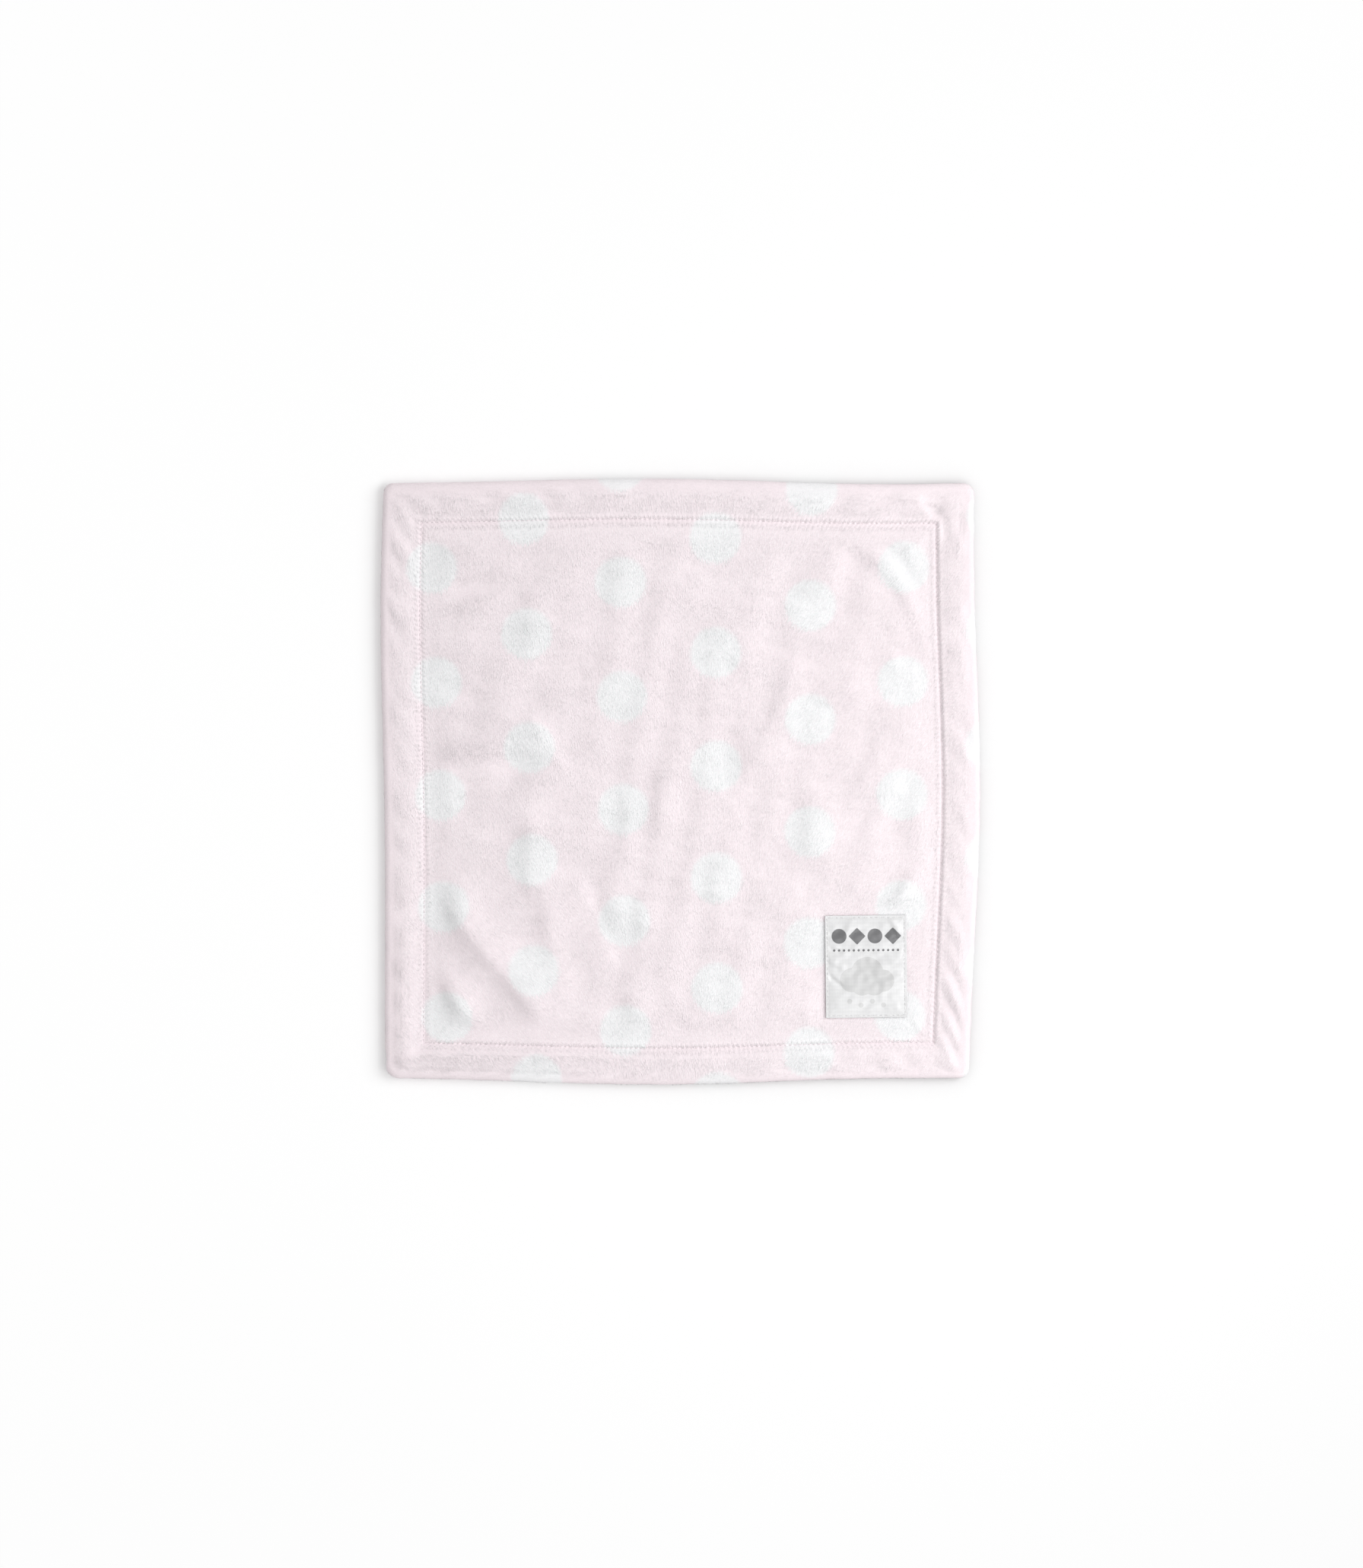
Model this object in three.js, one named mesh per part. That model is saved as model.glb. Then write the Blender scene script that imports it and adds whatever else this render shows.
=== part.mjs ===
import * as THREE from "three";

// A small plush comfort blanket of two sheets sewn back to back, lying face up on a flat surface.
// Lengths are in millimetres, +Z is up and +Y runs towards the blanket's top edge.
// Every point is first set out on a true square, and lie() then draws it into the outline that
// the soft cloth takes when it is laid down.

// Blanket
const blanketSide = 356;
const cornerRadius = 8;
const cornerRoundShares = { topLeft: 0.7, topRight: 0.9, bottomRight: 0.75, bottomLeft: 1.1 };

// Plush cloth with its pile pressed down, and the cloth turned in along the rim
const clothThickness = 1.5;
const seamAllowance = 10;
const rimRoll = 4.2;
const clearance = 0.3;

// Border between the rim and the topstitching
const borderWidth = 23;
const borderDriftShares = { left: 0.035, right: -0.02, top: 0.043, bottom: -0.065 };
const crownPuff = 0.7;
const crownPlaceShare = 0.62;
const shoulderRiseShare = 0.6;
const slopeThicknessShare = 1.3;
const puffWaves = [
  { count: 22, share: 0.55, turn: 0.6 },
  { count: 13, share: 0.45, turn: 2.1 },
];

// Channel that the topstitching draws into both sheets
const sewnThickness = 1;
const channelReach = 4;

// Field inside the topstitching
const fieldLift = 1.8;
const fieldEdgeLiftShare = 0.6;
const fieldFadeIn = 14;

// Woven label, placed from the topstitched lines beside it and below it
const labelWidth = 48.2;
const labelHeight = 60.5;
const labelThickness = 0.5;
const labelFromSideStitching = 18.5;
const labelFromBottomStitching = 15.6;
const labelTurnDegrees = 0.6;
const labelSeatLift = 1.8;
const labelSeatMargin = 26;

// Threads. Between two needle holes a stitch arches over the pile by its rise.
const topstitchDiameter = 0.5;
const topstitchPitch = 2.85;
const topstitchRise = 0.6;
const seamThreadDiameter = 0.3;
const labelThreadDiameter = 0.35;
const labelStitchPitch = 2.6;
const labelStitchRise = 0.35;
const labelStitchInset = 1.3;
const bobbinStep = 12;

// How far the sides of the laid blanket leave their straight lines, outwards
const sideDraw = {
  left: { bow: 0.9, skew: 1.1, ripple: 0.5 },
  right: { bow: 4.2, skew: -0.7, ripple: -0.9 },
  top: { bow: 1.8, skew: 0.9, ripple: -0.7 },
  bottom: { bow: 2.9, skew: 0.6, ripple: -0.8 },
};

// How far the corners of the laid blanket leave the true square
const cornerDraw = {
  topLeft: { x: 2.2, y: -1.2 },
  topRight: { x: -3.9, y: -0.9 },
  bottomRight: { x: -7, y: 2.2 },
  bottomLeft: { x: 3, y: 2.3 },
};

// Folds of the laid front sheet: lines between two places in shares of half the side, with their
// height and their breadth in shares of the tallest fold's rise and the usual fold's spread
const foldRise = 4.4;
const foldSpread = 14;
const foldShares = [
  { from: [-0.82, -0.34], to: [-0.47, -0.77], rise: 0.8, spread: 0.8 },
  { from: [-0.85, -0.54], to: [-0.66, -0.83], rise: 0.6, spread: 0.7 },
  { from: [-0.85, -0.42], to: [-0.54, -0.81], rise: -0.45, spread: 0.6 },
  { from: [-0.61, 0.21], to: [-0.39, 0.07], rise: 0.64, spread: 1.15 },
  { from: [-0.86, 0.06], to: [-0.49, 0.02], rise: -0.23, spread: 0.85 },
  { from: [-0.45, -0.2], to: [-0.45, -0.36], rise: 0.4, spread: 1 },
  { from: [-0.47, 0.62], to: [-0.45, 0.45], rise: 0.36, spread: 1 },
  { from: [0.02, 0.55], to: [0.02, -0.06], rise: -0.23, spread: 1.3 },
  { from: [0.27, 0.67], to: [0.27, 0.4], rise: 0.32, spread: 1.4 },
  { from: [0.42, 0.41], to: [0.22, 0.07], rise: 0.5, spread: 1.3 },
  { from: [0.49, -0.02], to: [0.49, -0.23], rise: 0.34, spread: 1.3 },
  { from: [0.34, 0.84], to: [0.62, 0.72], rise: 0.5, spread: 1 },
  { from: [0.62, 0.72], to: [0.85, 0.42], rise: 0.6, spread: 1 },
];

// Mesh counts
const frontCellCount = 18;
const backCellCount = 12;
const labelColumnCount = 6;
const labelRowCount = 8;
const needleThreadSideCount = 3;
const bobbinThreadSideCount = 4;
const cornerCell = 5;

// Sizes worked out from the driving dimensions
const halfSide = blanketSide / 2;
const seamRoom = seamThreadDiameter + 2 * clearance;
const rimHeight = 4 * clothThickness + 2 * seamRoom + clearance;
const seamLevel = rimHeight / 2;
const channelLift = topstitchDiameter + 2 * clearance;
const backChannelTop = channelLift + sewnThickness;
const frontChannelUnder = backChannelTop + clearance;
const frontChannelTop = frontChannelUnder + sewnThickness;
const frontFieldTop = 2 * clothThickness + clearance;
const foldReach = borderWidth - rimRoll;
const crownReach = borderWidth * crownPlaceShare;
const allowanceReach = borderWidth - seamAllowance;

const stitchLines = {
  left: -halfSide + borderWidth * (1 + borderDriftShares.left),
  right: halfSide - borderWidth * (1 + borderDriftShares.right),
  top: halfSide - borderWidth * (1 + borderDriftShares.top),
  bottom: -halfSide + borderWidth * (1 + borderDriftShares.bottom),
};

// The laid outline

function sideOffset(side, share) {
  const angle = Math.PI * share;
  return side.bow * Math.sin(angle) + side.skew * Math.sin(2 * angle)
    + side.ripple * Math.sin(3 * angle);
}

function lie(x, y, z) {
  const across = (x + halfSide) / blanketSide;
  const up = (y + halfSide) / blanketSide;
  const corners = [
    [cornerDraw.bottomLeft, (1 - across) * (1 - up)],
    [cornerDraw.bottomRight, across * (1 - up)],
    [cornerDraw.topLeft, (1 - across) * up],
    [cornerDraw.topRight, across * up],
  ];
  let laidX = x + across * sideOffset(sideDraw.right, 1 - up);
  let laidY = y + up * sideOffset(sideDraw.top, across);
  laidX -= (1 - across) * sideOffset(sideDraw.left, 1 - up);
  laidY -= (1 - up) * sideOffset(sideDraw.bottom, across);
  for (const [draw, weight] of corners) {
    laidX += weight * draw.x;
    laidY += weight * draw.y;
  }
  return new THREE.Vector3(laidX, laidY, z);
}

// Places around the border: a share of the rectangle at a given reach outside the topstitching

function rectangleAt(reach) {
  const share = reach / borderWidth;
  return {
    left: THREE.MathUtils.lerp(stitchLines.left, -halfSide, share),
    right: THREE.MathUtils.lerp(stitchLines.right, halfSide, share),
    top: THREE.MathUtils.lerp(stitchLines.top, halfSide, share),
    bottom: THREE.MathUtils.lerp(stitchLines.bottom, -halfSide, share),
  };
}

function roundShare(shareX, shareY) {
  if (shareY > 0) {
    return shareX > 0 ? cornerRoundShares.topRight : cornerRoundShares.topLeft;
  }
  return shareX > 0 ? cornerRoundShares.bottomRight : cornerRoundShares.bottomLeft;
}

function placeAt(shareX, shareY, reach) {
  const { left, right, top, bottom } = rectangleAt(reach);
  const centreX = (left + right) / 2;
  const centreY = (top + bottom) / 2;
  let outX = Math.abs(shareX) * (right - left) / 2;
  let outY = Math.abs(shareY) * (top - bottom) / 2;
  const outwards = Math.max(reach / borderWidth, 0);
  const radius = cornerRadius * roundShare(shareX, shareY) * outwards;
  const overX = outX - ((right - left) / 2 - radius);
  const overY = outY - ((top - bottom) / 2 - radius);
  if (overX > 0 && overY > 0) {
    const pull = 1 - Math.max(overX, overY) / Math.hypot(overX, overY);
    outX -= overX * pull;
    outY -= overY * pull;
  }
  return [centreX + Math.sign(shareX) * outX, centreY + Math.sign(shareY) * outY];
}

// Line places from -1 to 1 with a narrow cell at both ends, so that corners can be round
function lineShares(cells) {
  const narrow = cornerCell / (halfSide - borderWidth - channelReach);
  const inner = cells - 2;
  const shares = [-1];
  for (let line = 0; line <= inner; line += 1) {
    shares.push((1 - narrow) * (2 * line / inner - 1));
  }
  return [...shares, 1];
}

// The border stations in anticlockwise order, taken from the outer lines of a field grid
function borderStations(shares) {
  const last = shares.length - 1;
  const rising = shares.slice(0, last);
  const falling = shares.slice(1).reverse();
  return [
    ...rising.map((share) => [share, -1]),
    ...rising.map((share) => [1, share]),
    ...falling.map((share) => [share, 1]),
    ...falling.map((share) => [-1, share]),
  ];
}

function everySecond(list) {
  return list.filter((_, index) => index % 2 === 0);
}

// Heights

function smoothRise(value) {
  return THREE.MathUtils.smoothstep(value, 0, 1);
}

function distanceToLine(x, y, from, to) {
  const alongX = to[0] - from[0];
  const alongY = to[1] - from[1];
  const travel = ((x - from[0]) * alongX + (y - from[1]) * alongY)
    / (alongX * alongX + alongY * alongY);
  const share = THREE.MathUtils.clamp(travel, 0, 1);
  return Math.hypot(x - from[0] - share * alongX, y - from[1] - share * alongY);
}

const labelCentre = {
  x: stitchLines.right - labelFromSideStitching - labelWidth / 2,
  y: stitchLines.bottom + labelFromBottomStitching + labelHeight / 2,
};

function clearOfLabel(x, y) {
  const overX = Math.abs(x - labelCentre.x) - labelWidth / 2;
  const overY = Math.abs(y - labelCentre.y) - labelHeight / 2;
  return smoothRise(Math.max(overX, overY) / labelSeatMargin);
}

function fieldHeight(x, y) {
  const { left, right, top, bottom } = rectangleAt(-channelReach);
  const inside = Math.min(x - left, right - x, top - y, y - bottom);
  const free = smoothRise(inside / fieldFadeIn);
  let rise = fieldLift * (fieldEdgeLiftShare + (1 - fieldEdgeLiftShare) * free);
  for (const fold of foldShares) {
    const from = fold.from.map((share) => share * halfSide);
    const to = fold.to.map((share) => share * halfSide);
    const away = distanceToLine(x, y, from, to) / (foldSpread * fold.spread);
    rise += foldRise * fold.rise * free * Math.exp(-away * away);
  }
  const seated = THREE.MathUtils.lerp(labelSeatLift, Math.max(rise, 0), clearOfLabel(x, y));
  return frontFieldTop + seated;
}

function borderPuff([shareX, shareY]) {
  const angle = Math.atan2(shareY, shareX);
  let share = 0;
  for (const wave of puffWaves) {
    share += wave.share * (1 + Math.sin(wave.count * angle + wave.turn)) / 2;
  }
  return crownPuff * share;
}

// A grid of heights over straight lines, whose cells are split as the patches below split them
class HeightGrid {
  constructor(xs, ys, height) {
    this.xs = xs;
    this.ys = ys;
    this.heights = xs.map((x, column) => ys.map((y, row) => height(x, y, column, row)));
  }

  static cellOf(lines, value) {
    let cell = 0;
    while (cell < lines.length - 2 && value > lines[cell + 1]) cell += 1;
    return [cell, (value - lines[cell]) / (lines[cell + 1] - lines[cell])];
  }

  at(x, y) {
    const [column, across] = HeightGrid.cellOf(this.xs, x);
    const [row, up] = HeightGrid.cellOf(this.ys, y);
    const near = this.heights[column][row];
    const far = this.heights[column + 1][row + 1];
    if (across >= up) {
      const side = this.heights[column + 1][row];
      return near + across * (side - near) + up * (far - side);
    }
    const side = this.heights[column][row + 1];
    return near + up * (side - near) + across * (far - side);
  }
}

// Closed shells built from loops of points and grid patches

class Shell {
  constructor(facesDown = false) {
    this.facesDown = facesDown;
    this.positions = [];
    this.triangles = [];
  }

  point(vector) {
    this.positions.push(vector.x, vector.y, vector.z);
    return this.positions.length / 3 - 1;
  }

  triangle(a, b, c) {
    this.triangles.push(...(this.facesDown ? [a, c, b] : [a, b, c]));
  }

  quad(a, b, c, d) {
    this.triangle(a, b, c);
    this.triangle(a, c, d);
  }

  loop(points) {
    return points.map((point) => this.point(point));
  }

  // Joins two anticlockwise loops of equal count, or an outer loop of twice the inner's count
  bridge(from, to) {
    const halved = from.length === 2 * to.length;
    for (let index = 0; index < to.length; index += 1) {
      const next = (index + 1) % to.length;
      if (halved) {
        const middle = 2 * index + 1;
        const end = (2 * index + 2) % from.length;
        this.triangle(from[2 * index], to[index], from[middle]);
        this.triangle(from[middle], to[index], to[next]);
        this.triangle(from[middle], to[next], from[end]);
      } else {
        this.quad(from[index], to[index], to[next], from[next]);
      }
    }
  }

  // Fills a grid of points, and gives back its border as an anticlockwise loop
  patch(columns, turned = false) {
    const ids = columns.map((points) => points.map((point) => this.point(point)));
    const lastColumn = ids.length - 1;
    const lastRow = ids[0].length - 1;
    for (let column = 0; column < lastColumn; column += 1) {
      for (let row = 0; row < lastRow; row += 1) {
        const a = ids[column][row];
        const b = ids[column + 1][row];
        const c = ids[column + 1][row + 1];
        const d = ids[column][row + 1];
        if (turned) {
          this.triangle(a, c, b);
          this.triangle(a, d, c);
        } else {
          this.quad(a, b, c, d);
        }
      }
    }
    return [
      ...ids.slice(0, lastColumn).map((points) => points[0]),
      ...ids[lastColumn].slice(0, lastRow),
      ...ids.slice(1).reverse().map((points) => points[lastRow]),
      ...ids[0].slice(1).reverse(),
    ];
  }

  geometry() {
    const geometry = new THREE.BufferGeometry();
    geometry.setAttribute("position", new THREE.Float32BufferAttribute(this.positions, 3));
    geometry.setIndex(this.triangles);
    geometry.computeVertexNormals();
    return geometry;
  }
}

function laidLoop(stations, reach, height) {
  return stations.map((station) => {
    const [x, y] = placeAt(station[0], station[1], reach);
    return lie(x, y, typeof height === "number" ? height : height(station));
  });
}

function laidGrid(grid) {
  return grid.xs.map((x, column) => grid.ys.map((y, row) => lie(x, y, grid.heights[column][row])));
}

function fieldLines(shares) {
  const { left, right, top, bottom } = rectangleAt(-channelReach);
  return {
    xs: shares.map((share) => THREE.MathUtils.lerp(left, right, (share + 1) / 2)),
    ys: shares.map((share) => THREE.MathUtils.lerp(bottom, top, (share + 1) / 2)),
  };
}

// Quarter turn of the rim from its shoulder to the seam, at a share of a right angle
function rollReach(turn) {
  return foldReach + rimRoll * Math.sin(turn);
}

function rollRise(turn) {
  return seamLevel * Math.cos(turn);
}

const midRoll = Math.PI / 4;

// Front sheet

const frontShares = lineShares(frontCellCount);
const frontLines = fieldLines(frontShares);
const frontTop = new HeightGrid(frontLines.xs, frontLines.ys, fieldHeight);

function lowestNear(column, row) {
  let lowest = Infinity;
  for (const besideColumn of [column - 1, column, column + 1]) {
    for (const besideRow of [row - 1, row, row + 1]) {
      lowest = Math.min(lowest, frontTop.heights[besideColumn]?.[besideRow] ?? lowest);
    }
  }
  return lowest;
}

// The front sheet's inner face keeps at least the cloth's thickness below its folded outer face
const frontUnder = new HeightGrid(
  everySecond(frontLines.xs),
  everySecond(frontLines.ys),
  (x, y, column, row) => lowestNear(2 * column, 2 * row) - clothThickness,
);

function crownHeight(station) {
  return rimHeight + borderPuff(station);
}

function channelShoulder(station) {
  return THREE.MathUtils.lerp(frontChannelTop, crownHeight(station), shoulderRiseShare);
}

function frontSheet() {
  const shell = new Shell();
  const all = borderStations(frontShares);
  const some = everySecond(all);
  const allowanceUnder = seamLevel + clearance / 2;
  const allowanceTop = allowanceUnder + clothThickness;
  const crownUnder = (station) => crownHeight(station) - clothThickness;
  const shoulderUnder = (station) => channelShoulder(station) - clothThickness * slopeThicknessShare;
  const outer = [
    [0, frontChannelTop],
    [channelReach, channelShoulder],
    [crownReach, crownHeight],
    [foldReach, rimHeight],
    [rollReach(midRoll), seamLevel + rollRise(midRoll)],
    [borderWidth, allowanceUnder],
  ];
  const inner = [
    [allowanceReach, allowanceUnder],
    [allowanceReach, allowanceTop],
    [foldReach, allowanceTop],
    [foldReach + seamRoom / 2, allowanceTop + seamRoom / 2],
    [foldReach, rimHeight - clothThickness],
    [crownReach, crownUnder],
    [channelReach, shoulderUnder],
    [0, frontChannelUnder],
  ];
  let edge = shell.patch(laidGrid(frontTop));
  for (const [reach, height] of outer) {
    const next = shell.loop(laidLoop(all, reach, height));
    shell.bridge(edge, next);
    edge = next;
  }
  for (const [reach, height] of inner) {
    const next = shell.loop(laidLoop(some, reach, height));
    shell.bridge(edge, next);
    edge = next;
  }
  shell.bridge(edge, shell.patch(laidGrid(frontUnder), true));
  return shell.geometry();
}

// Back sheet, the same turned rim the other way up, with a flat field that the blanket lies on

function backSheet() {
  const shell = new Shell(true);
  const shares = lineShares(backCellCount);
  const stations = borderStations(shares);
  const { xs, ys } = fieldLines(shares);
  const allowanceTop = seamLevel - clearance / 2;
  const allowanceUnder = allowanceTop - clothThickness;
  const loops = [
    [0, channelLift],
    [channelReach, 0],
    [foldReach, 0],
    [rollReach(midRoll), seamLevel - rollRise(midRoll)],
    [borderWidth, allowanceTop],
    [allowanceReach, allowanceTop],
    [allowanceReach, allowanceUnder],
    [foldReach, allowanceUnder],
    [foldReach + seamRoom / 2, allowanceUnder - seamRoom / 2],
    [foldReach, clothThickness],
    [channelReach, clothThickness],
    [0, backChannelTop],
  ];
  let edge = shell.patch(laidGrid(new HeightGrid(xs, ys, () => 0)));
  for (const [reach, height] of loops) {
    const next = shell.loop(laidLoop(stations, reach, height));
    shell.bridge(edge, next);
    edge = next;
  }
  shell.bridge(edge, shell.patch(laidGrid(new HeightGrid(xs, ys, () => clothThickness)), true));
  return shell.geometry();
}

// Label

const labelTurn = THREE.MathUtils.degToRad(labelTurnDegrees);

// A place on the label, from its centre, turned as the label is and moved to a given centre
function onLabel(alongX, alongY, centre = labelCentre) {
  return [
    centre.x + alongX * Math.cos(labelTurn) - alongY * Math.sin(labelTurn),
    centre.y + alongX * Math.sin(labelTurn) + alongY * Math.cos(labelTurn),
  ];
}

// The firm label stays a true rectangle where the soft cloth around it is drawn
const laidLabelCentre = lie(labelCentre.x, labelCentre.y, 0);

function layLabel(alongX, alongY, z) {
  return new THREE.Vector3(...onLabel(alongX, alongY, laidLabelCentre), z);
}

function evenLines(length, cells) {
  return Array.from({ length: cells + 1 }, (_, line) => length * (line / cells - 1 / 2));
}

const labelUnder = new HeightGrid(
  evenLines(labelWidth, labelColumnCount),
  evenLines(labelHeight, labelRowCount),
  (x, y) => frontTop.at(...onLabel(x, y)) + clearance,
);

function label() {
  const shell = new Shell();
  const laid = (rise) => labelUnder.xs.map((x, column) => labelUnder.ys.map(
    (y, row) => layLabel(x, y, labelUnder.heights[column][row] + rise),
  ));
  const upper = shell.patch(laid(labelThickness));
  const lower = shell.patch(laid(0), true);
  shell.bridge(upper, lower);
  return shell.geometry();
}

// Threads, each a closed loop of tube

function threadLoop(points, diameter, sides) {
  const shell = new Shell();
  const upwards = new THREE.Vector3(0, 0, 1);
  const rings = points.map((point, index) => {
    const before = points[(index + points.length - 1) % points.length];
    const after = points[(index + 1) % points.length];
    const ahead = after.clone().sub(before).normalize();
    const side = ahead.clone().cross(upwards).normalize();
    const over = side.clone().cross(ahead);
    return Array.from({ length: sides }, (_, corner) => {
      const angle = 2 * Math.PI * corner / sides + Math.PI / 2;
      return shell.point(point.clone()
        .addScaledVector(side, diameter / 2 * Math.cos(angle))
        .addScaledVector(over, diameter / 2 * Math.sin(angle)));
    });
  });
  rings.forEach((ring, index) => {
    const next = rings[(index + 1) % rings.length];
    for (let corner = 0; corner < sides; corner += 1) {
      const beside = (corner + 1) % sides;
      shell.quad(ring[corner], next[corner], next[beside], ring[beside]);
    }
  });
  return shell.geometry();
}

// Flat places round a rectangle, evenly spaced along each side, with each one's own rise
function roundRectangle({ left, right, top, bottom }, pitch, rises) {
  const corners = [[left, bottom], [right, bottom], [right, top], [left, top]];
  return corners.flatMap((from, index) => {
    const to = corners[(index + 1) % corners.length];
    const stitches = Math.round(Math.hypot(to[0] - from[0], to[1] - from[1]) / pitch);
    const steps = stitches * rises.length;
    return Array.from({ length: steps }, (_, step) => ({
      x: THREE.MathUtils.lerp(from[0], to[0], step / steps),
      y: THREE.MathUtils.lerp(from[1], to[1], step / steps),
      rise: rises[step % rises.length],
    }));
  });
}

const stitchLift = clearance + topstitchDiameter / 2;

// The topstitching's upper thread dips to a needle hole and rises over the pile at every stitch
function topstitchNeedlePath() {
  return roundRectangle(stitchLines, topstitchPitch, [0, topstitchRise]).map(
    ({ x, y, rise }) => lie(x, y, frontChannelTop + stitchLift + rise),
  );
}

const labelStitchLines = {
  left: -labelWidth / 2 + labelStitchInset,
  right: labelWidth / 2 - labelStitchInset,
  top: labelHeight / 2 - labelStitchInset,
  bottom: -labelHeight / 2 + labelStitchInset,
};

function labelNeedlePath() {
  const lift = labelThickness + clearance + labelThreadDiameter / 2;
  return roundRectangle(labelStitchLines, labelStitchPitch, [0, labelStitchRise]).map(
    ({ x, y, rise }) => layLabel(x, y, labelUnder.at(x, y) + lift + rise),
  );
}

function labelBobbinPath() {
  const drop = clearance + labelThreadDiameter / 2;
  return roundRectangle(labelStitchLines, bobbinStep, [0]).map(
    ({ x, y }) => layLabel(x, y, frontUnder.at(...onLabel(x, y)) - drop),
  );
}

const frontStations = borderStations(frontShares);
const backStations = borderStations(lineShares(backCellCount));
const seamReach = foldReach - seamThreadDiameter;
const seamLift = clearance + seamThreadDiameter / 2;

// Finishes

function cloth(color, roughness) {
  return new THREE.MeshStandardMaterial({ color, roughness, metalness: 0 });
}

const plushPink = 0xecdfe3;
const satinWhite = 0xe9e8e8;
const threadPink = 0xead3da;
const threadWhite = 0xeeeded;

const needleThread = (path, diameter) => threadLoop(path, diameter, needleThreadSideCount);
const bobbinThread = (path, diameter) => threadLoop(path, diameter, bobbinThreadSideCount);

const pieces = {
  back_sheet: [backSheet(), cloth(plushPink, 0.95)],
  front_sheet: [frontSheet(), cloth(plushPink, 0.95)],
  satin_label: [label(), cloth(satinWhite, 0.45)],
  topstitch_needle_thread: [
    needleThread(topstitchNeedlePath(), topstitchDiameter),
    cloth(threadPink, 0.7),
  ],
  topstitch_bobbin_thread: [
    bobbinThread(laidLoop(backStations, 0, channelLift - stitchLift), topstitchDiameter),
    cloth(threadPink, 0.7),
  ],
  rim_seam_needle_thread: [
    bobbinThread(
      laidLoop(everySecond(frontStations), seamReach, rimHeight - clothThickness - seamLift),
      seamThreadDiameter,
    ),
    cloth(threadPink, 0.7),
  ],
  rim_seam_bobbin_thread: [
    bobbinThread(laidLoop(backStations, seamReach, clothThickness + seamLift), seamThreadDiameter),
    cloth(threadPink, 0.7),
  ],
  label_needle_thread: [
    needleThread(labelNeedlePath(), labelThreadDiameter),
    cloth(threadWhite, 0.7),
  ],
  label_bobbin_thread: [
    bobbinThread(labelBobbinPath(), labelThreadDiameter),
    cloth(threadWhite, 0.7),
  ],
};

const blanket = new THREE.Group();
for (const [name, [geometry, material]] of Object.entries(pieces)) {
  const mesh = new THREE.Mesh(geometry, material);
  mesh.name = name;
  blanket.add(mesh);
}

// The origin is under the middle of the outline, on the surface that the blanket lies on
const outline = new THREE.Box3().setFromObject(blanket);
const middle = outline.getCenter(new THREE.Vector3());
blanket.position.set(-middle.x, -middle.y, 0);

export default blanket;
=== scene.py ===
"""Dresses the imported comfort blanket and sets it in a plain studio.

The blanket is two squares of short-pile dotted plush, sewn back to back, turned out and
topstitched a little inside the rim, with a woven satin label sewn down on the front.

Lengths are in millimetres until a mesh is made, where MM turns them into the scene's metres.
X runs to the right edge, Y to the top edge and Z up from the surface that the blanket lies on.
"""

import logging
import math
from dataclasses import dataclass, field
from enum import Enum
from functools import cached_property
from typing import Any, Sequence

import bpy
import numpy as np
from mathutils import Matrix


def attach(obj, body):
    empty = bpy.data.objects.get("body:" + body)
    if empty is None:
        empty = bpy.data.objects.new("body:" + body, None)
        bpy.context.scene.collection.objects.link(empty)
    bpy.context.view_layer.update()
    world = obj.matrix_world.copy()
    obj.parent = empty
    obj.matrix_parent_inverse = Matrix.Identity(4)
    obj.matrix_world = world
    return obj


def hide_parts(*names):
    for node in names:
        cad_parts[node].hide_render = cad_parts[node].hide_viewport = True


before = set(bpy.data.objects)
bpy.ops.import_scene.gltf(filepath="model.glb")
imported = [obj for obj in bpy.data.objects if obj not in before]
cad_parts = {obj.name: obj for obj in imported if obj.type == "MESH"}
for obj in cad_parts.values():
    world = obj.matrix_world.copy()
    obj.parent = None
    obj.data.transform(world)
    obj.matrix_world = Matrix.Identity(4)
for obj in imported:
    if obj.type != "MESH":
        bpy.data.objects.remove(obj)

MM = 0.001
ROOT = "root"

Array = np.ndarray
Material = bpy.types.Material
Mesh = bpy.types.Mesh
Node = bpy.types.Node
Piece = bpy.types.Object
Colour = tuple[float, float, float, float]
Pair = tuple[float, float]
# The waves of a pattern: their grain in millimetres, and how far they wander.
Waves = tuple[float, float]
# A mottled tone: its grain in millimetres, its darkest value and its palest.
Mottle = tuple[float, float, float]

# The part of a noise's values that a mottled tone is spread over.
NOISE_SPAN: Pair = (0.3, 0.7)
# How many grains of a wave go to one unit of a wave texture's scale.
WAVE_GRAINS = 10

log = logging.getLogger("comfort_blanket")


class Slot(Enum):
    """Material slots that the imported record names."""

    PLUSH = "plush"
    SATIN = "satin"
    PINK_THREAD = "thread_pink"
    WHITE_THREAD = "thread_white"


class Side(Enum):
    """Sides of the square, in the order in which a loop runs round it."""

    BOTTOM = 0
    RIGHT = 1
    TOP = 2
    LEFT = 3

    @property
    def outwards(self) -> int:
        """1 where outwards is to the right or up, else -1."""
        return 1 if self in (Side.RIGHT, Side.TOP) else -1


def smooth_step(value: Array | float) -> Array:
    """Eases a value from 0 to 1, flat at both ends."""
    share = np.clip(value, 0.0, 1.0)
    return share * share * (3.0 - 2.0 * share)


def blend(start: Any, end: Any, share: Any) -> Any:
    """Goes from start to end by a share."""
    return start + (end - start) * share


def grid_border(grid: Array) -> Array:
    """Gives the values on a grid's border as an anticlockwise loop."""
    return np.concatenate([grid[:-1, 0], grid[-1, :-1], grid[:0:-1, -1], grid[0, :0:-1]])


def read_values(source: Any, name: str, width: int = 1, kind: type = np.float32) -> Array:
    """Reads one value of each item of a mesh, in rows where it is more than one number."""
    values = np.zeros(len(source) * width, kind)
    source.foreach_get(name, values)
    return values.reshape(-1, width) if width > 1 else values


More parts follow.
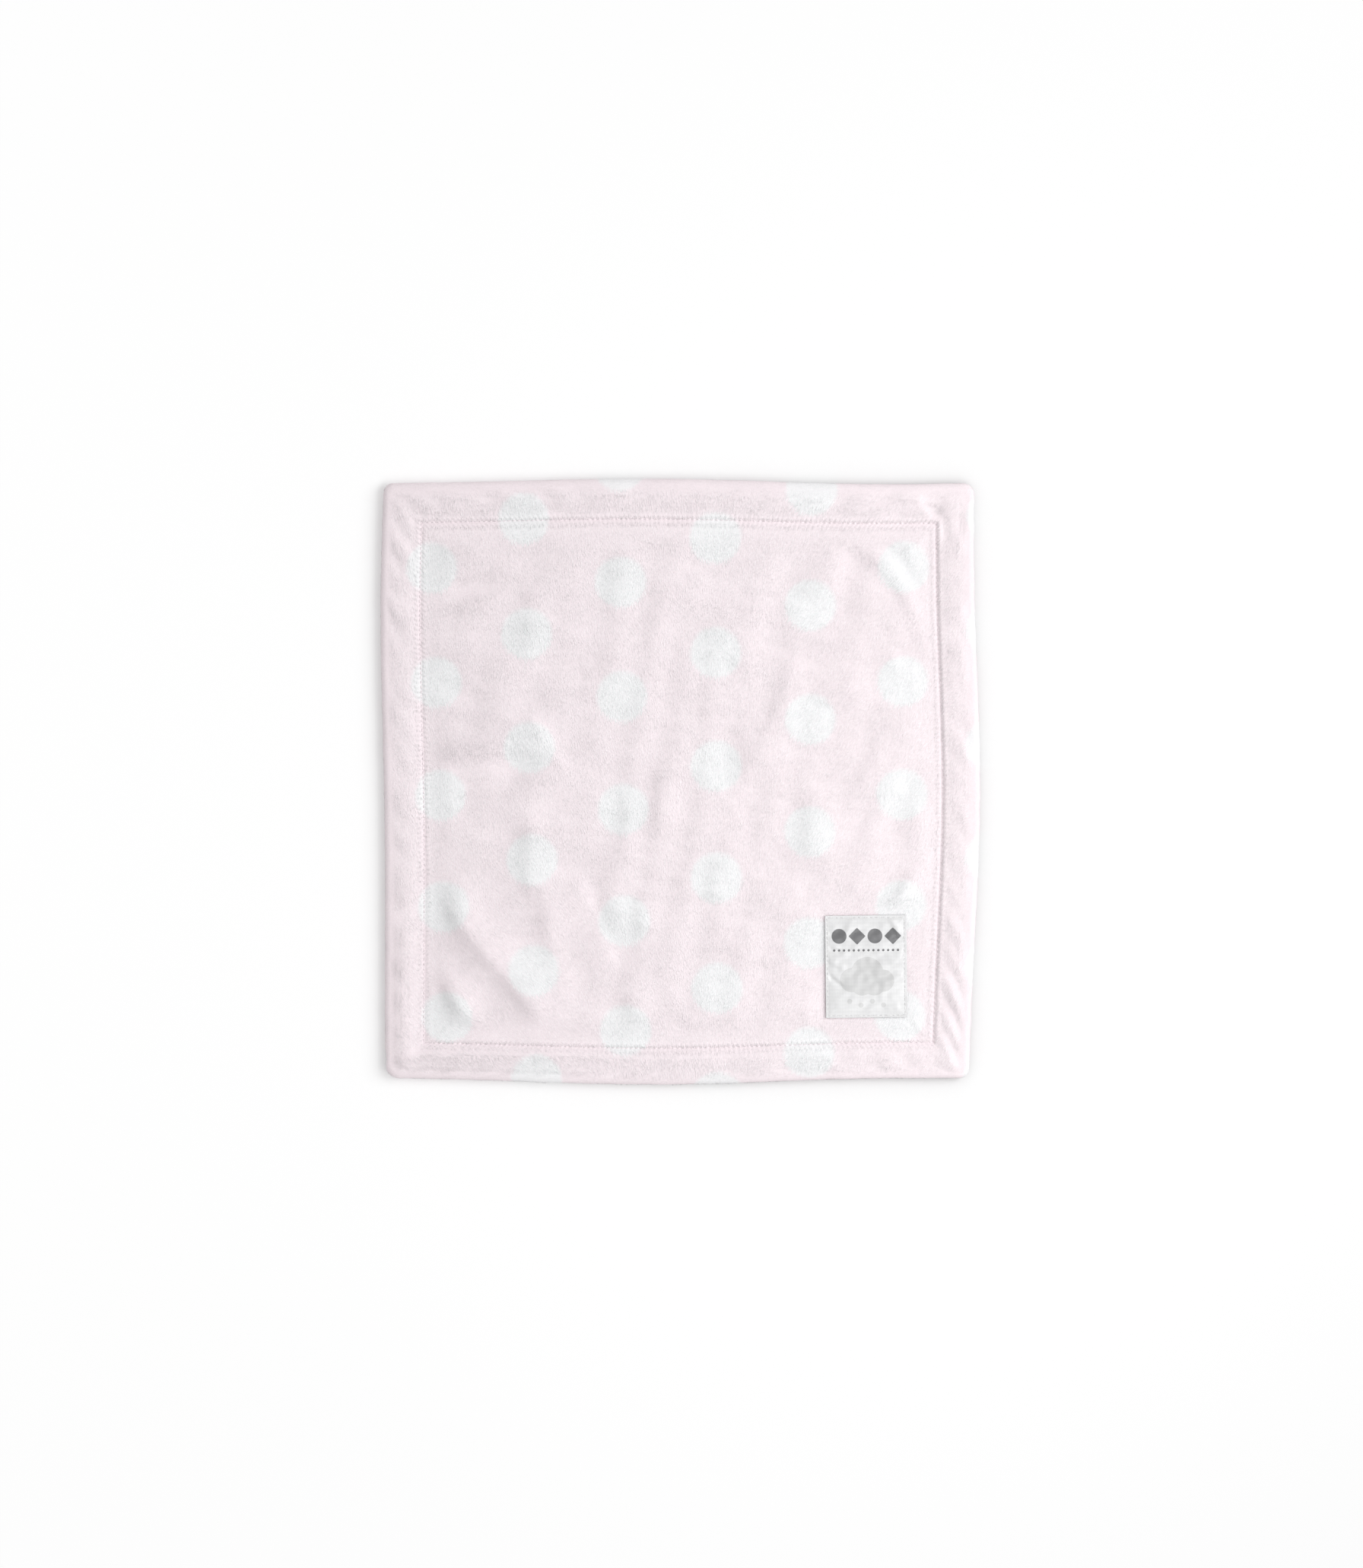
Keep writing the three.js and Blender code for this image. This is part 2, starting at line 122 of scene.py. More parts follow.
@dataclass(frozen=True)
class SideDraw:
    """How far one side of the laid blanket leaves its straight line, outwards."""

    bow: float
    skew: float
    ripple: float

    def offset(self, share: Array) -> Array:
        """Gives the outward offsets at shares of the side's length."""
        angle = np.pi * share
        drawn = self.bow * np.sin(angle) + self.skew * np.sin(2 * angle)
        return drawn + self.ripple * np.sin(3 * angle)


@dataclass(frozen=True)
class BlanketLay:
    """The outline that the soft square takes when it is laid down."""

    side: float = 356.0
    corner_radius: float = 8.0
    border: float = 23.0
    stitch_pitch: float = 2.85
    drift: dict[Side, float] = field(
        default_factory=lambda: {
            Side.LEFT: 0.035,
            Side.RIGHT: -0.02,
            Side.TOP: 0.043,
            Side.BOTTOM: -0.065,
        }
    )
    draws: dict[Side, SideDraw] = field(
        default_factory=lambda: {
            Side.LEFT: SideDraw(0.9, 1.1, 0.5),
            Side.RIGHT: SideDraw(4.2, -0.7, -0.9),
            Side.TOP: SideDraw(1.8, 0.9, -0.7),
            Side.BOTTOM: SideDraw(2.9, 0.6, -0.8),
        }
    )
    corner_draws: dict[tuple[int, int], Pair] = field(
        default_factory=lambda: {
            (-1, 1): (2.2, -1.2),
            (1, 1): (-3.9, -0.9),
            (1, -1): (-7.0, 2.2),
            (-1, -1): (3.0, 2.3),
        }
    )
    corner_rounds: dict[tuple[int, int], float] = field(
        default_factory=lambda: {(-1, 1): 0.7, (1, 1): 0.9, (1, -1): 0.75, (-1, -1): 1.1}
    )

    @property
    def half(self) -> float:
        """Half of the square's side."""
        return self.side / 2

    @cached_property
    def stitch_lines(self) -> dict[Side, float]:
        """The straight lines of the topstitching, before the square is laid down."""
        insets = {side: self.border * (1 + self.drift[side]) for side in Side}
        return {side: side.outwards * (self.half - insets[side]) for side in Side}

    @cached_property
    def stitches_per_side(self) -> int:
        """How many stitches the topstitching has along each side."""
        lines = self.stitch_lines
        return round((lines[Side.RIGHT] - lines[Side.LEFT]) / self.stitch_pitch)

    def rectangle(self, reach: float) -> dict[Side, float]:
        """Gives the side lines of the rectangle at a reach outside the topstitching."""
        share, lines = reach / self.border, self.stitch_lines
        return {side: blend(lines[side], side.outwards * self.half, share) for side in Side}

    @staticmethod
    def inside(x: Array, y: Array, lines: dict[Side, float]) -> Array:
        """Measures how far places lie inside a rectangle of side lines."""
        return np.minimum(
            np.minimum(x - lines[Side.LEFT], lines[Side.RIGHT] - x),
            np.minimum(lines[Side.TOP] - y, y - lines[Side.BOTTOM]),
        )

    def lie(self, x: Array, y: Array) -> tuple[Array, Array]:
        """Draws places on the true square into the laid outline.

        Args:
            x: Places across the square.
            y: Places up the square.

        Returns:
            The laid places, with the frame's origin in the middle of the outline.
        """
        laid_x, laid_y = self._drawn(x, y)
        return laid_x - self.middle[0], laid_y - self.middle[1]

    def _drawn(self, x: Array, y: Array) -> tuple[Array, Array]:
        """Draws places on the true square, without centring them."""
        across = (x + self.half) / self.side
        up = (y + self.half) / self.side
        laid_x = x + across * self.draws[Side.RIGHT].offset(1 - up)
        laid_x = laid_x - (1 - across) * self.draws[Side.LEFT].offset(1 - up)
        laid_y = y + up * self.draws[Side.TOP].offset(across)
        laid_y = laid_y - (1 - up) * self.draws[Side.BOTTOM].offset(across)
        for (right, top), draw in self.corner_draws.items():
            weight = (across if right > 0 else 1 - across) * (up if top > 0 else 1 - up)
            laid_x = laid_x + weight * draw[0]
            laid_y = laid_y + weight * draw[1]
        return laid_x, laid_y

    @cached_property
    def middle(self) -> Pair:
        """The middle of the laid outline, measured round its rim."""
        x, y = self.place(self.stations(2 * self.stitches_per_side), self.border)
        laid_x, laid_y = self._drawn(x, y)
        middle_x = float(laid_x.min() + laid_x.max()) / 2
        return middle_x, float(laid_y.min() + laid_y.max()) / 2

    def place(self, shares: Array, reach: float) -> tuple[Array, Array]:
        """Places stations on the rectangle at a reach, with its corners rounded.

        Args:
            shares: Stations as shares of the half width and the half height, n by 2.
            reach: Distance outside the stitch lines.

        Returns:
            Places on the true square.
        """
        lines = self.rectangle(reach)
        half_width = (lines[Side.RIGHT] - lines[Side.LEFT]) / 2
        half_height = (lines[Side.TOP] - lines[Side.BOTTOM]) / 2
        out_x = np.abs(shares[:, 0]) * half_width
        out_y = np.abs(shares[:, 1]) * half_height
        right, top = np.sign(shares[:, 0]), np.sign(shares[:, 1])
        rounds = np.zeros(len(shares))
        for (corner_right, corner_top), share in self.corner_rounds.items():
            here = (right * corner_right >= 0) & (top * corner_top >= 0)
            rounds[here] = share
        radius = self.corner_radius * rounds * max(reach / self.border, 0)
        over_x = np.maximum(out_x - (half_width - radius), 0)
        over_y = np.maximum(out_y - (half_height - radius), 0)
        long_side = np.maximum(np.hypot(over_x, over_y), 1e-9)
        turned = (over_x > 0) & (over_y > 0)
        pull = np.where(turned, 1 - np.maximum(over_x, over_y) / long_side, 0)
        centre_x = (lines[Side.RIGHT] + lines[Side.LEFT]) / 2
        centre_y = (lines[Side.TOP] + lines[Side.BOTTOM]) / 2
        x = centre_x + right * (out_x - over_x * pull)
        y = centre_y + top * (out_y - over_y * pull)
        return x, y

    @staticmethod
    def stations(count: int) -> Array:
        """Runs anticlockwise round the square from its bottom left corner.

        Args:
            count: Stations on each side.

        Returns:
            Shares of the half width and the half height, 4 * count by 2.
        """
        line = np.linspace(-1, 1, count + 1)
        rising, falling, ones = line[:-1], line[:0:-1], np.ones(count)
        sides = [(rising, -ones), (ones, rising), (falling, ones), (-ones, falling)]
        return np.concatenate([np.stack(side, axis=1) for side in sides])


@dataclass(frozen=True)
class Ripples:
    """Gentle random relief: waves of about one length that run in every direction."""

    length: float
    height: float
    seed: int
    wave_count: int = 26
    shortest: float = 0.7
    longest: float = 1.4

    def at(self, x: Array, y: Array) -> Array:
        """Gives the heights at places, mostly within the named height of zero."""
        rng = np.random.default_rng(self.seed)
        relief = np.zeros(np.shape(x))
        for _ in range(self.wave_count):
            angle, turn = rng.uniform(0, 2 * np.pi, 2)
            pace = 2 * np.pi / (self.length * rng.uniform(self.shortest, self.longest))
            relief += np.sin(pace * (x * math.cos(angle) + y * math.sin(angle)) + turn)
        return relief * self.height / math.sqrt(self.wave_count)


@dataclass(frozen=True)
class Puckers:
    """Shallow ripples that cross the border, where the cloth is gathered by its seams."""

    loop_length: float
    closest: float = 15.0
    widest: float = 42.0
    height: float = 0.42
    slant: float = 0.6
    centre_reach: float = 15.0
    reach_spread: float = 9.0
    slant_spread: Pair = (0.2, 1.8)
    wave_count: int = 22
    seed: int = 51

    def at(self, along: Array, reach: float) -> Array:
        """Gives the heights at places along the loop, at a reach outside the stitch line."""
        rng = np.random.default_rng(self.seed)
        relief = np.zeros(np.shape(along))
        for _ in range(self.wave_count):
            turns = round(self.loop_length / rng.uniform(self.closest, self.widest))
            turn = rng.uniform(0, 2 * np.pi)
            slant = self.slant * rng.uniform(*self.slant_spread)
            pace = 2 * np.pi * turns / self.loop_length
            relief += np.sin(pace * (along + slant * reach) + turn)
        fade = math.exp(-(((reach - self.centre_reach) / self.reach_spread) ** 2))
        return relief * fade * self.height / math.sqrt(self.wave_count)


@dataclass(frozen=True)
class Crease:
    """A soft fold, up or down, that bends and fades out to both ends.

    Its run goes down or to the right, and the first spread is that of the flank
    on the left of the blanket or below, which faces away from the lamp.
    """

    start: Pair
    end: Pair
    rise: float
    spread: float
    far_spread: float
    bow: float = 0.0
    fade_share: float = 0.3

    def at(self, x: Array, y: Array) -> Array:
        """Gives the heights at places, which fade with the distance to the fold's crest."""
        run = np.array(self.end) - np.array(self.start)
        length = math.hypot(*run)
        off_x, off_y = x - self.start[0], y - self.start[1]
        share = (off_x * run[0] + off_y * run[1]) / length**2
        side = (run[0] * off_y - run[1] * off_x) / length
        side = side - self.bow * (1 - (2 * np.clip(share, 0, 1) - 1) ** 2)
        spread = np.where(side < 0, self.spread, self.far_spread)
        fade = smooth_step(share / self.fade_share) * smooth_step((1 - share) / self.fade_share)
        return self.rise * fade * np.exp(-((side / spread) ** 2))


@dataclass(frozen=True)
class DotColumn:
    """One column of the printed dots: its place, its lean and its stagger in rows."""

    x: float
    lean: float
    stagger: float


@dataclass(frozen=True)
class DotPattern:
    """White dots in staggered columns, a little closer towards the bottom edge."""

    radius: float = 15.0
    row_pitch: float = 66.5
    row_gather: float = 0.42
    rows_each_way: int = 4
    lean_span: float = 178.0
    columns: tuple[DotColumn, ...] = (
        DotColumn(-197.0, -8.6, 0.56),
        DotColumn(-142.4, -6.6, 0.143),
        DotColumn(-88.8, -4.4, 0.717),
        DotColumn(-34.0, -2.1, 0.267),
        DotColumn(21.0, -0.6, 0.881),
        DotColumn(76.0, 0.7, 0.465),
        DotColumn(130.4, 1.5, 0.128),
        DotColumn(182.5, 0.5, 0.692),
    )

    def reach(self, x: Array, y: Array) -> Array:
        """Measures how far laid places lie inside the nearest dot's rim, negative outside."""
        best = np.full(np.shape(x), -self.row_pitch)
        for column in self.columns:
            for row in range(-self.rows_each_way, self.rows_each_way + 1):
                down = row + column.stagger
                dot_y = -(self.row_pitch * down - self.row_gather * down * down)
                dot_x = column.x + column.lean * dot_y / self.lean_span
                best = np.maximum(best, self.radius - np.hypot(x - dot_x, y - dot_y))
        return best


@dataclass
class Points:
    """Laid points of a sheet, with what the finish and the pile need to know of each."""

    place: Array
    cloth: Array
    reach: Array
    bears_pile: bool | Array

    def flat(self) -> "Points":
        """Gives the same points as one row, each with its own values."""
        place = self.place.reshape(-1, 3)
        return Points(
            place,
            self.cloth.reshape(-1, 2),
            np.broadcast_to(self.reach, self.place.shape[:-1]).reshape(-1),
            np.full(len(place), self.bears_pile),
        )


class Shell:
    """A closed surface, made of loops of points and grid patches that are joined up."""

    def __init__(self, faces_down: bool = False) -> None:
        """Starts an empty shell.

        Args:
            faces_down: Whether its first side is the one that faces down.
        """
        self.faces_down = faces_down
        self.rows: list[Points] = []
        self.count = 0
        self.quads: list[Array] = []
        self.triangles: list[Array] = []

    def add(self, points: Points) -> Array:
        """Adds points and gives back their numbers, in the points' own shape."""
        shape = points.place.shape[:-1]
        ids = self.count + np.arange(int(np.prod(shape)))
        self.rows.append(points.flat())
        self.count += len(ids)
        return ids.reshape(shape)

    def bridge(self, outer: Array, inner: Array) -> None:
        """Joins two anticlockwise loops, of equal counts or with one twice the other.

        Args:
            outer: Numbers of the first loop's points.
            inner: Numbers of the second loop's points.
        """
        if len(outer) == len(inner):
            corners = [outer, inner, np.roll(inner, -1), np.roll(outer, -1)]
            self.quads.append(np.stack(corners, axis=1))
            return
        first_is_finer = len(outer) > len(inner)
        fine, coarse = (outer, inner) if first_is_finer else (inner, outer)
        order = [0, 1, 2] if first_is_finer else [0, 2, 1]
        near, middle, far = fine[::2], fine[1::2], np.roll(fine[::2], -1)
        beside = np.roll(coarse, -1)
        for fan in ((near, coarse, middle), (middle, coarse, beside), (middle, beside, far)):
            self.triangles.append(np.stack(fan, axis=1)[:, order])

    def join(self, edge: Array, points: Points) -> Array:
        """Adds a loop of points, joins it to the one before and gives back its numbers."""
        loop = self.add(points)
        self.bridge(edge, loop)
        return loop

    def patch(self, points: Points, turned: bool = False) -> Array:
        """Fills a grid, columns first, and gives its border as an anticlockwise loop.

        Args:
            points: The grid's points.
            turned: Whether the patch is the far side of the shell.

        Returns:
            Numbers of the border's points.
        """
        ids = self.add(points)
        near, right = ids[:-1, :-1].ravel(), ids[1:, :-1].ravel()
        far, left = ids[1:, 1:].ravel(), ids[:-1, 1:].ravel()
        corners = [near, left, far, right] if turned else [near, right, far, left]
        self.quads.append(np.stack(corners, axis=1))
        return grid_border(ids)

    def mesh(self, name: str) -> Mesh:
        """Makes the Blender mesh, with smooth faces that point outwards."""
        quads = np.concatenate(self.quads)
        triangles = (
            np.concatenate(self.triangles) if self.triangles else np.zeros((0, 3), int)
        )
        if self.faces_down:
            quads, triangles = quads[:, ::-1], triangles[:, ::-1]
        points = np.concatenate([row.place for row in self.rows]) * MM
        return mesh_of(name, points, quads, triangles)

    def gathered(self, name: str) -> Array:
        """Gathers one of the points' values over the whole shell."""
        return np.concatenate([getattr(row, name) for row in self.rows])


def mesh_of(name: str, points: Array, quads: Array, triangles: Array) -> Mesh:
    """Makes a smooth mesh from arrays.

    Args:
        name: The mesh's name.
        points: Places in metres, n by 3.
        quads: Point numbers of the four-sided faces.
        triangles: Point numbers of the three-sided faces.

    Returns:
        The mesh.
    """
    mesh = bpy.data.meshes.new(name)
    mesh.vertices.add(len(points))
    mesh.vertices.foreach_set("co", points.astype(np.float32).ravel())
    corners = np.concatenate([quads.ravel(), triangles.ravel()])
    quad_starts = 4 * np.arange(len(quads))
    starts = np.append(quad_starts, 4 * len(quads) + 3 * np.arange(len(triangles)))
    mesh.loops.add(len(corners))
    mesh.loops.foreach_set("vertex_index", corners.astype(np.int32))
    mesh.polygons.add(len(starts))
    mesh.polygons.foreach_set("loop_start", starts.astype(np.int32))
    mesh.update(calc_edges=True)
    mesh.validate()
    mesh.shade_smooth()
    return mesh


def set_values(mesh: Mesh, name: str, values: Array, domain: str = "POINT") -> None:
    """Stores values on a mesh as a named attribute.

    Args:
        mesh: The mesh to store them on.
        name: The attribute's name.
        values: Whole numbers, numbers, or rows of three numbers.
        domain: Where the values belong, on points or on faces.
    """
    if values.ndim == 2:
        kind, key, plain = "FLOAT_VECTOR", "vector", values.astype(np.float32)
    elif values.dtype.kind == "i":
        kind, key, plain = "INT", "value", values.astype(np.int32)
    else:
        kind, key, plain = "FLOAT", "value", values.astype(np.float32)
    attribute = mesh.attributes.new(name, kind, domain)
    attribute.data.foreach_set(key, plain.ravel())


def planar_map(mesh: Mesh, shear: Pair = (0.35, 0.2)) -> None:
    """Gives a mesh a map seen from above, sheared so that upright faces have width.

    Args:
        mesh: The mesh to map.
        shear: How far the map moves to the right and up with height.
    """
    places = read_values(mesh.vertices, "co", 3)
    flat = places[:, :2] + places[:, 2:] * np.array(shear)
    flat -= flat.min(axis=0)
    flat /= flat.max()
    numbers = read_values(mesh.loops, "vertex_index", kind=np.int32)
    layer = mesh.uv_layers.new(name="OFBake", do_init=False)
    layer.uv.foreach_set("vector", flat[numbers].astype(np.float32).ravel())


class Graph:
    """A node tree under construction."""

    def __init__(self, tree: bpy.types.NodeTree) -> None:
        """Wraps an empty tree."""
        self.tree = tree

    def add(self, kind: str, inputs: dict[Any, Any] | None = None, **settings: Any) -> Node:
        """Adds a node, sets it up and links what feeds it.

        Args:
            kind: The node's type.
            inputs: For each input, by name or number, a value or the socket to link.
            settings: The node's own settings.

        Returns:
            The node.
        """
        node = self.tree.nodes.new(kind)
        for name, value in settings.items():
            setattr(node, name, value)
        for key, value in (inputs or {}).items():
            if isinstance(value, bpy.types.NodeSocket):
                self.tree.links.new(value, node.inputs[key])
            else:
                node.inputs[key].default_value = value
        return node

    def math(self, operation: str, *values: Any) -> Any:
        """Adds a Math node and gives its result."""
        return self.add("ShaderNodeMath", dict(enumerate(values)), operation=operation).outputs[0]

    def attribute(self, name: str) -> Any:
        """Reads a named value of the surface."""
        return self.add("ShaderNodeAttribute", attribute_name=name).outputs["Fac"]

    def place(self) -> Any:
        """Reads the surface's place."""
        return self.add("ShaderNodeTexCoord").outputs["Object"]

    def ramp(self, value: Any, low: float, high: float, bottom: float, top: float) -> Any:
        """Maps a value smoothly from one range to another."""
        inputs = {"Value": value, 1: low, 2: high, 3: bottom, 4: top}
        node = self.add("ShaderNodeMapRange", inputs, interpolation_type="SMOOTHSTEP")
        return node.outputs["Result"]

    def within(self, reach: Any, softness: float) -> Any:
        """Goes from 0 to 1 over a soft rim, where a reach changes its sign."""
        return self.ramp(reach, -softness, softness, 0, 1)

    def noise(self, size: float, detail: float = 2.0) -> Any:
        """Reads random values from 0 to 1, with their grain in millimetres."""
        inputs = {"Vector": self.place(), "Scale": 1 / (size * MM), "Detail": detail}
        return self.add("ShaderNodeTexNoise", inputs).outputs["Fac"]

    def mottle(self, size: float, darkest: float, palest: float) -> Any:
        """Gives a tone that wanders between two, with its grain in millimetres."""
        return self.ramp(self.noise(size), *NOISE_SPAN, darkest, palest)

    def wave(self, direction: str, grain: float, wander: float) -> Any:
        """Reads waves from 0 to 1 that run in a direction."""
        scale = 1 / (grain * MM) / WAVE_GRAINS
        inputs = {"Vector": self.place(), "Scale": scale, "Distortion": wander}
        node = self.add("ShaderNodeTexWave", inputs, bands_direction=direction)
        return node.outputs["Fac"]

    def mix(self, factor: Any, first: Any, second: Any, kind: str = "MIX") -> Any:
        """Mixes two colours."""
        inputs = {"Factor": factor, 6: first, 7: second}
        node = self.add("ShaderNodeMix", inputs, data_type="RGBA", blend_type=kind)
        return node.outputs[2]

    def grey(self, value: Any) -> Any:
        """Turns a value into a grey."""
        node = self.add("ShaderNodeCombineColor", {0: value, 1: value, 2: value})
        return node.outputs["Color"]


def new_material(name: str) -> tuple[Material, Graph, Node]:
    """Makes a material whose nodes are to be added.

    Args:
        name: The material's name.

    Returns:
        The material, its graph and its output node.
    """
    material = bpy.data.materials.new(name)
    material.use_nodes = True
    material.node_tree.nodes.clear()
    graph = Graph(material.node_tree)
    return material, graph, graph.add("ShaderNodeOutputMaterial")


@dataclass(frozen=True)
class Surface:
    """How a finish takes the light, and how deep its finest relief is in millimetres."""

    roughness: float
    specular: float
    sheen: float
    bump_strength: float
    bump_depth: float

    def end(self, graph: Graph, output: Node, colour: Any, tone: Any, height: Any) -> None:
        """Ends a material with its surface.

        Args:
            graph: The material's graph.
            output: Its output node.
            colour: The colour before it is toned.
            tone: Socket of the tone, 1 where the colour stays.
            height: Socket of the finest relief.
        """
        depth = self.bump_depth * MM
        bump = graph.add(
            "ShaderNodeBump",
            {"Strength": self.bump_strength, "Distance": depth, "Height": height},
        )
        shader = graph.add(
            "ShaderNodeBsdfPrincipled",
            {
                "Base Color": graph.mix(1.0, colour, graph.grey(tone), "MULTIPLY"),
                "Roughness": self.roughness,
                "Specular IOR Level": self.specular,
                "Sheen Weight": self.sheen,
                "Sheen Roughness": 0.5,
                "Normal": bump.outputs["Normal"],
            },
        )
        graph.tree.links.new(shader.outputs["BSDF"], output.inputs["Surface"])


@dataclass(frozen=True)
class PlushFinish:
    """Pale pink knitted pile with printed white dots, with painted shade that darkens it towards
    its roots.
    """

    name: str = "dotted_plush"
    pink: Colour = (0.972, 0.900, 0.925, 1.0)
    white: Colour = (0.957, 0.980, 0.983, 1.0)
    # Painted shade towards the pile's roots: its tint, and the share of plain colour left at a
    # root.
    root_shade_tint: Colour = (0.985, 0.94, 0.955, 1.0)
    root_unshaded_share: float = 0.25
    rag_size: float = 1.3
    rag_reach: float = 1.4
    rim_softness: float = 1.6
    patches: Mottle = (22.0, 0.985, 1.012)
    grain: Mottle = (1.1, 0.975, 1.02)
    fuzz_size: float = 0.45
    fuzz_detail: float = 3.0
    surface: Surface = Surface(0.92, 0.15, 0.2, 0.12, 0.2)

    def material(self) -> Material:
        """Builds the material."""
        material, graph, output = new_material(self.name)
        rag = graph.math("SUBTRACT", graph.noise(self.rag_size), 0.5)
        rag = graph.math("MULTIPLY", rag, 2 * self.rag_reach)
        reach = graph.math("ADD", graph.attribute("dot_reach"), rag)
        colour = graph.mix(graph.within(reach, self.rim_softness), self.pink, self.white)
        # Painted shade: the colour darkens from the tufts' tips towards their roots, where the
        # pile shades itself.
        rooted = graph.mix(1.0, colour, self.root_shade_tint, "MULTIPLY")
        height = graph.ramp(graph.attribute("tip"), 0.0, 1.0, self.root_unshaded_share, 1.0)
        colour = graph.mix(height, rooted, colour)
        tone = graph.math("MULTIPLY", graph.mottle(*self.patches), graph.mottle(*self.grain))
        # Each tuft's random tone, and on the bare sheet the painted shade under the pile.
        tone = graph.math("MULTIPLY", tone, graph.attribute("tuft_tone"))
        fuzz = graph.noise(self.fuzz_size, self.fuzz_detail)
        self.surface.end(graph, output, colour, tone, fuzz)
        return material


@dataclass(frozen=True)
class ThreadFinish:
    """Twisted sewing thread, with painted shade where its plies meet."""

    name: str
    colour: Colour
    groove_shade_level: float = 0.78
    groove_shade_range: Pair = (0.1, 0.7)
    twist: Waves = (0.55, 1.5)
    clouds: Mottle = (3.0, 0.95, 1.03)
    surface: Surface = Surface(0.55, 0.35, 0.15, 0.5, 0.08)

    def material(self) -> Material:
        """Builds the material."""
        material, graph, output = new_material(self.name)
        plies = graph.wave("DIAGONAL", *self.twist)
        # Painted shade: the thread is darkened in the grooves where its plies meet.
        groove_shade = graph.ramp(plies, *self.groove_shade_range, self.groove_shade_level, 1.0)
        tone = graph.math("MULTIPLY", groove_shade, graph.mottle(*self.clouds))
        self.surface.end(graph, output, self.colour, tone, plies)
        return material


@dataclass(frozen=True)
class SatinFinish:
    """Woven satin with a tone-on-tone motif and a dark woven row."""

    name: str = "woven_satin"
    ground: Colour = (0.76, 0.76, 0.765, 1.0)
    motif: Colour = (0.64, 0.64, 0.64, 1.0)
    dark: Colour = (0.16, 0.16, 0.165, 1.0)
    warp: Waves = (0.28, 0.6)
    weft: Waves = (0.7, 1.2)
    weft_share: float = 0.5
    weave_range: Pair = (0.2, 1.3)
    weave_tones: Pair = (0.95, 1.02)
    motif_softness: float = 0.12
    row_softness: float = 0.1
    clouds: Mottle = (9.0, 0.96, 1.03)
    surface: Surface = Surface(0.3, 0.5, 0.1, 0.35, 0.05)

    def material(self) -> Material:
        """Builds the material."""
        material, graph, output = new_material(self.name)
        weft = graph.math("MULTIPLY", graph.wave("Y", *self.weft), self.weft_share)
        weave = graph.math("ADD", graph.wave("X", *self.warp), weft)
        motif = graph.within(graph.attribute("motif_reach"), self.motif_softness)
        dark = graph.within(graph.attribute("row_reach"), self.row_softness)
        colour = graph.mix(dark, graph.mix(motif, self.ground, self.motif), self.dark)
        tone = graph.ramp(weave, *self.weave_range, *self.weave_tones)
        tone = graph.math("MULTIPLY", tone, graph.mottle(*self.clouds))
        self.surface.end(graph, output, colour, tone, weave)
        return material


@dataclass(frozen=True)
class Lamp:
    """A round softbox that hangs off to one side and faces the object."""

    name: str
    power: float
    size: float
    distance: float
    azimuth: float
    elevation: float

    @property
    def place(self) -> tuple[float, float, float]:
        """Where the lamp hangs, in metres."""
        level = math.cos(self.elevation) * self.distance
        return (
            level * math.cos(self.azimuth),
            level * math.sin(self.azimuth),
            math.sin(self.elevation) * self.distance,
        )

    @property
    def share(self) -> float:
        """How bright the lamp makes a white floor under the object."""
        return self.power * math.sin(self.elevation) / (math.pi * self.distance) ** 2

    def hang(self) -> None:
        """Puts the lamp into the studio."""
        lamp = bpy.data.lights.new(self.name, "AREA")
        lamp.shape = "DISK"
        lamp.size = self.size
        lamp.energy = self.power
        holder = bpy.data.objects.new(self.name, lamp)
        bpy.context.scene.collection.objects.link(holder)
        holder.location = self.place
        towards = -holder.location
        holder.rotation_mode = "QUATERNION"
        holder.rotation_quaternion = towards.to_track_quat("-Z", "Y")


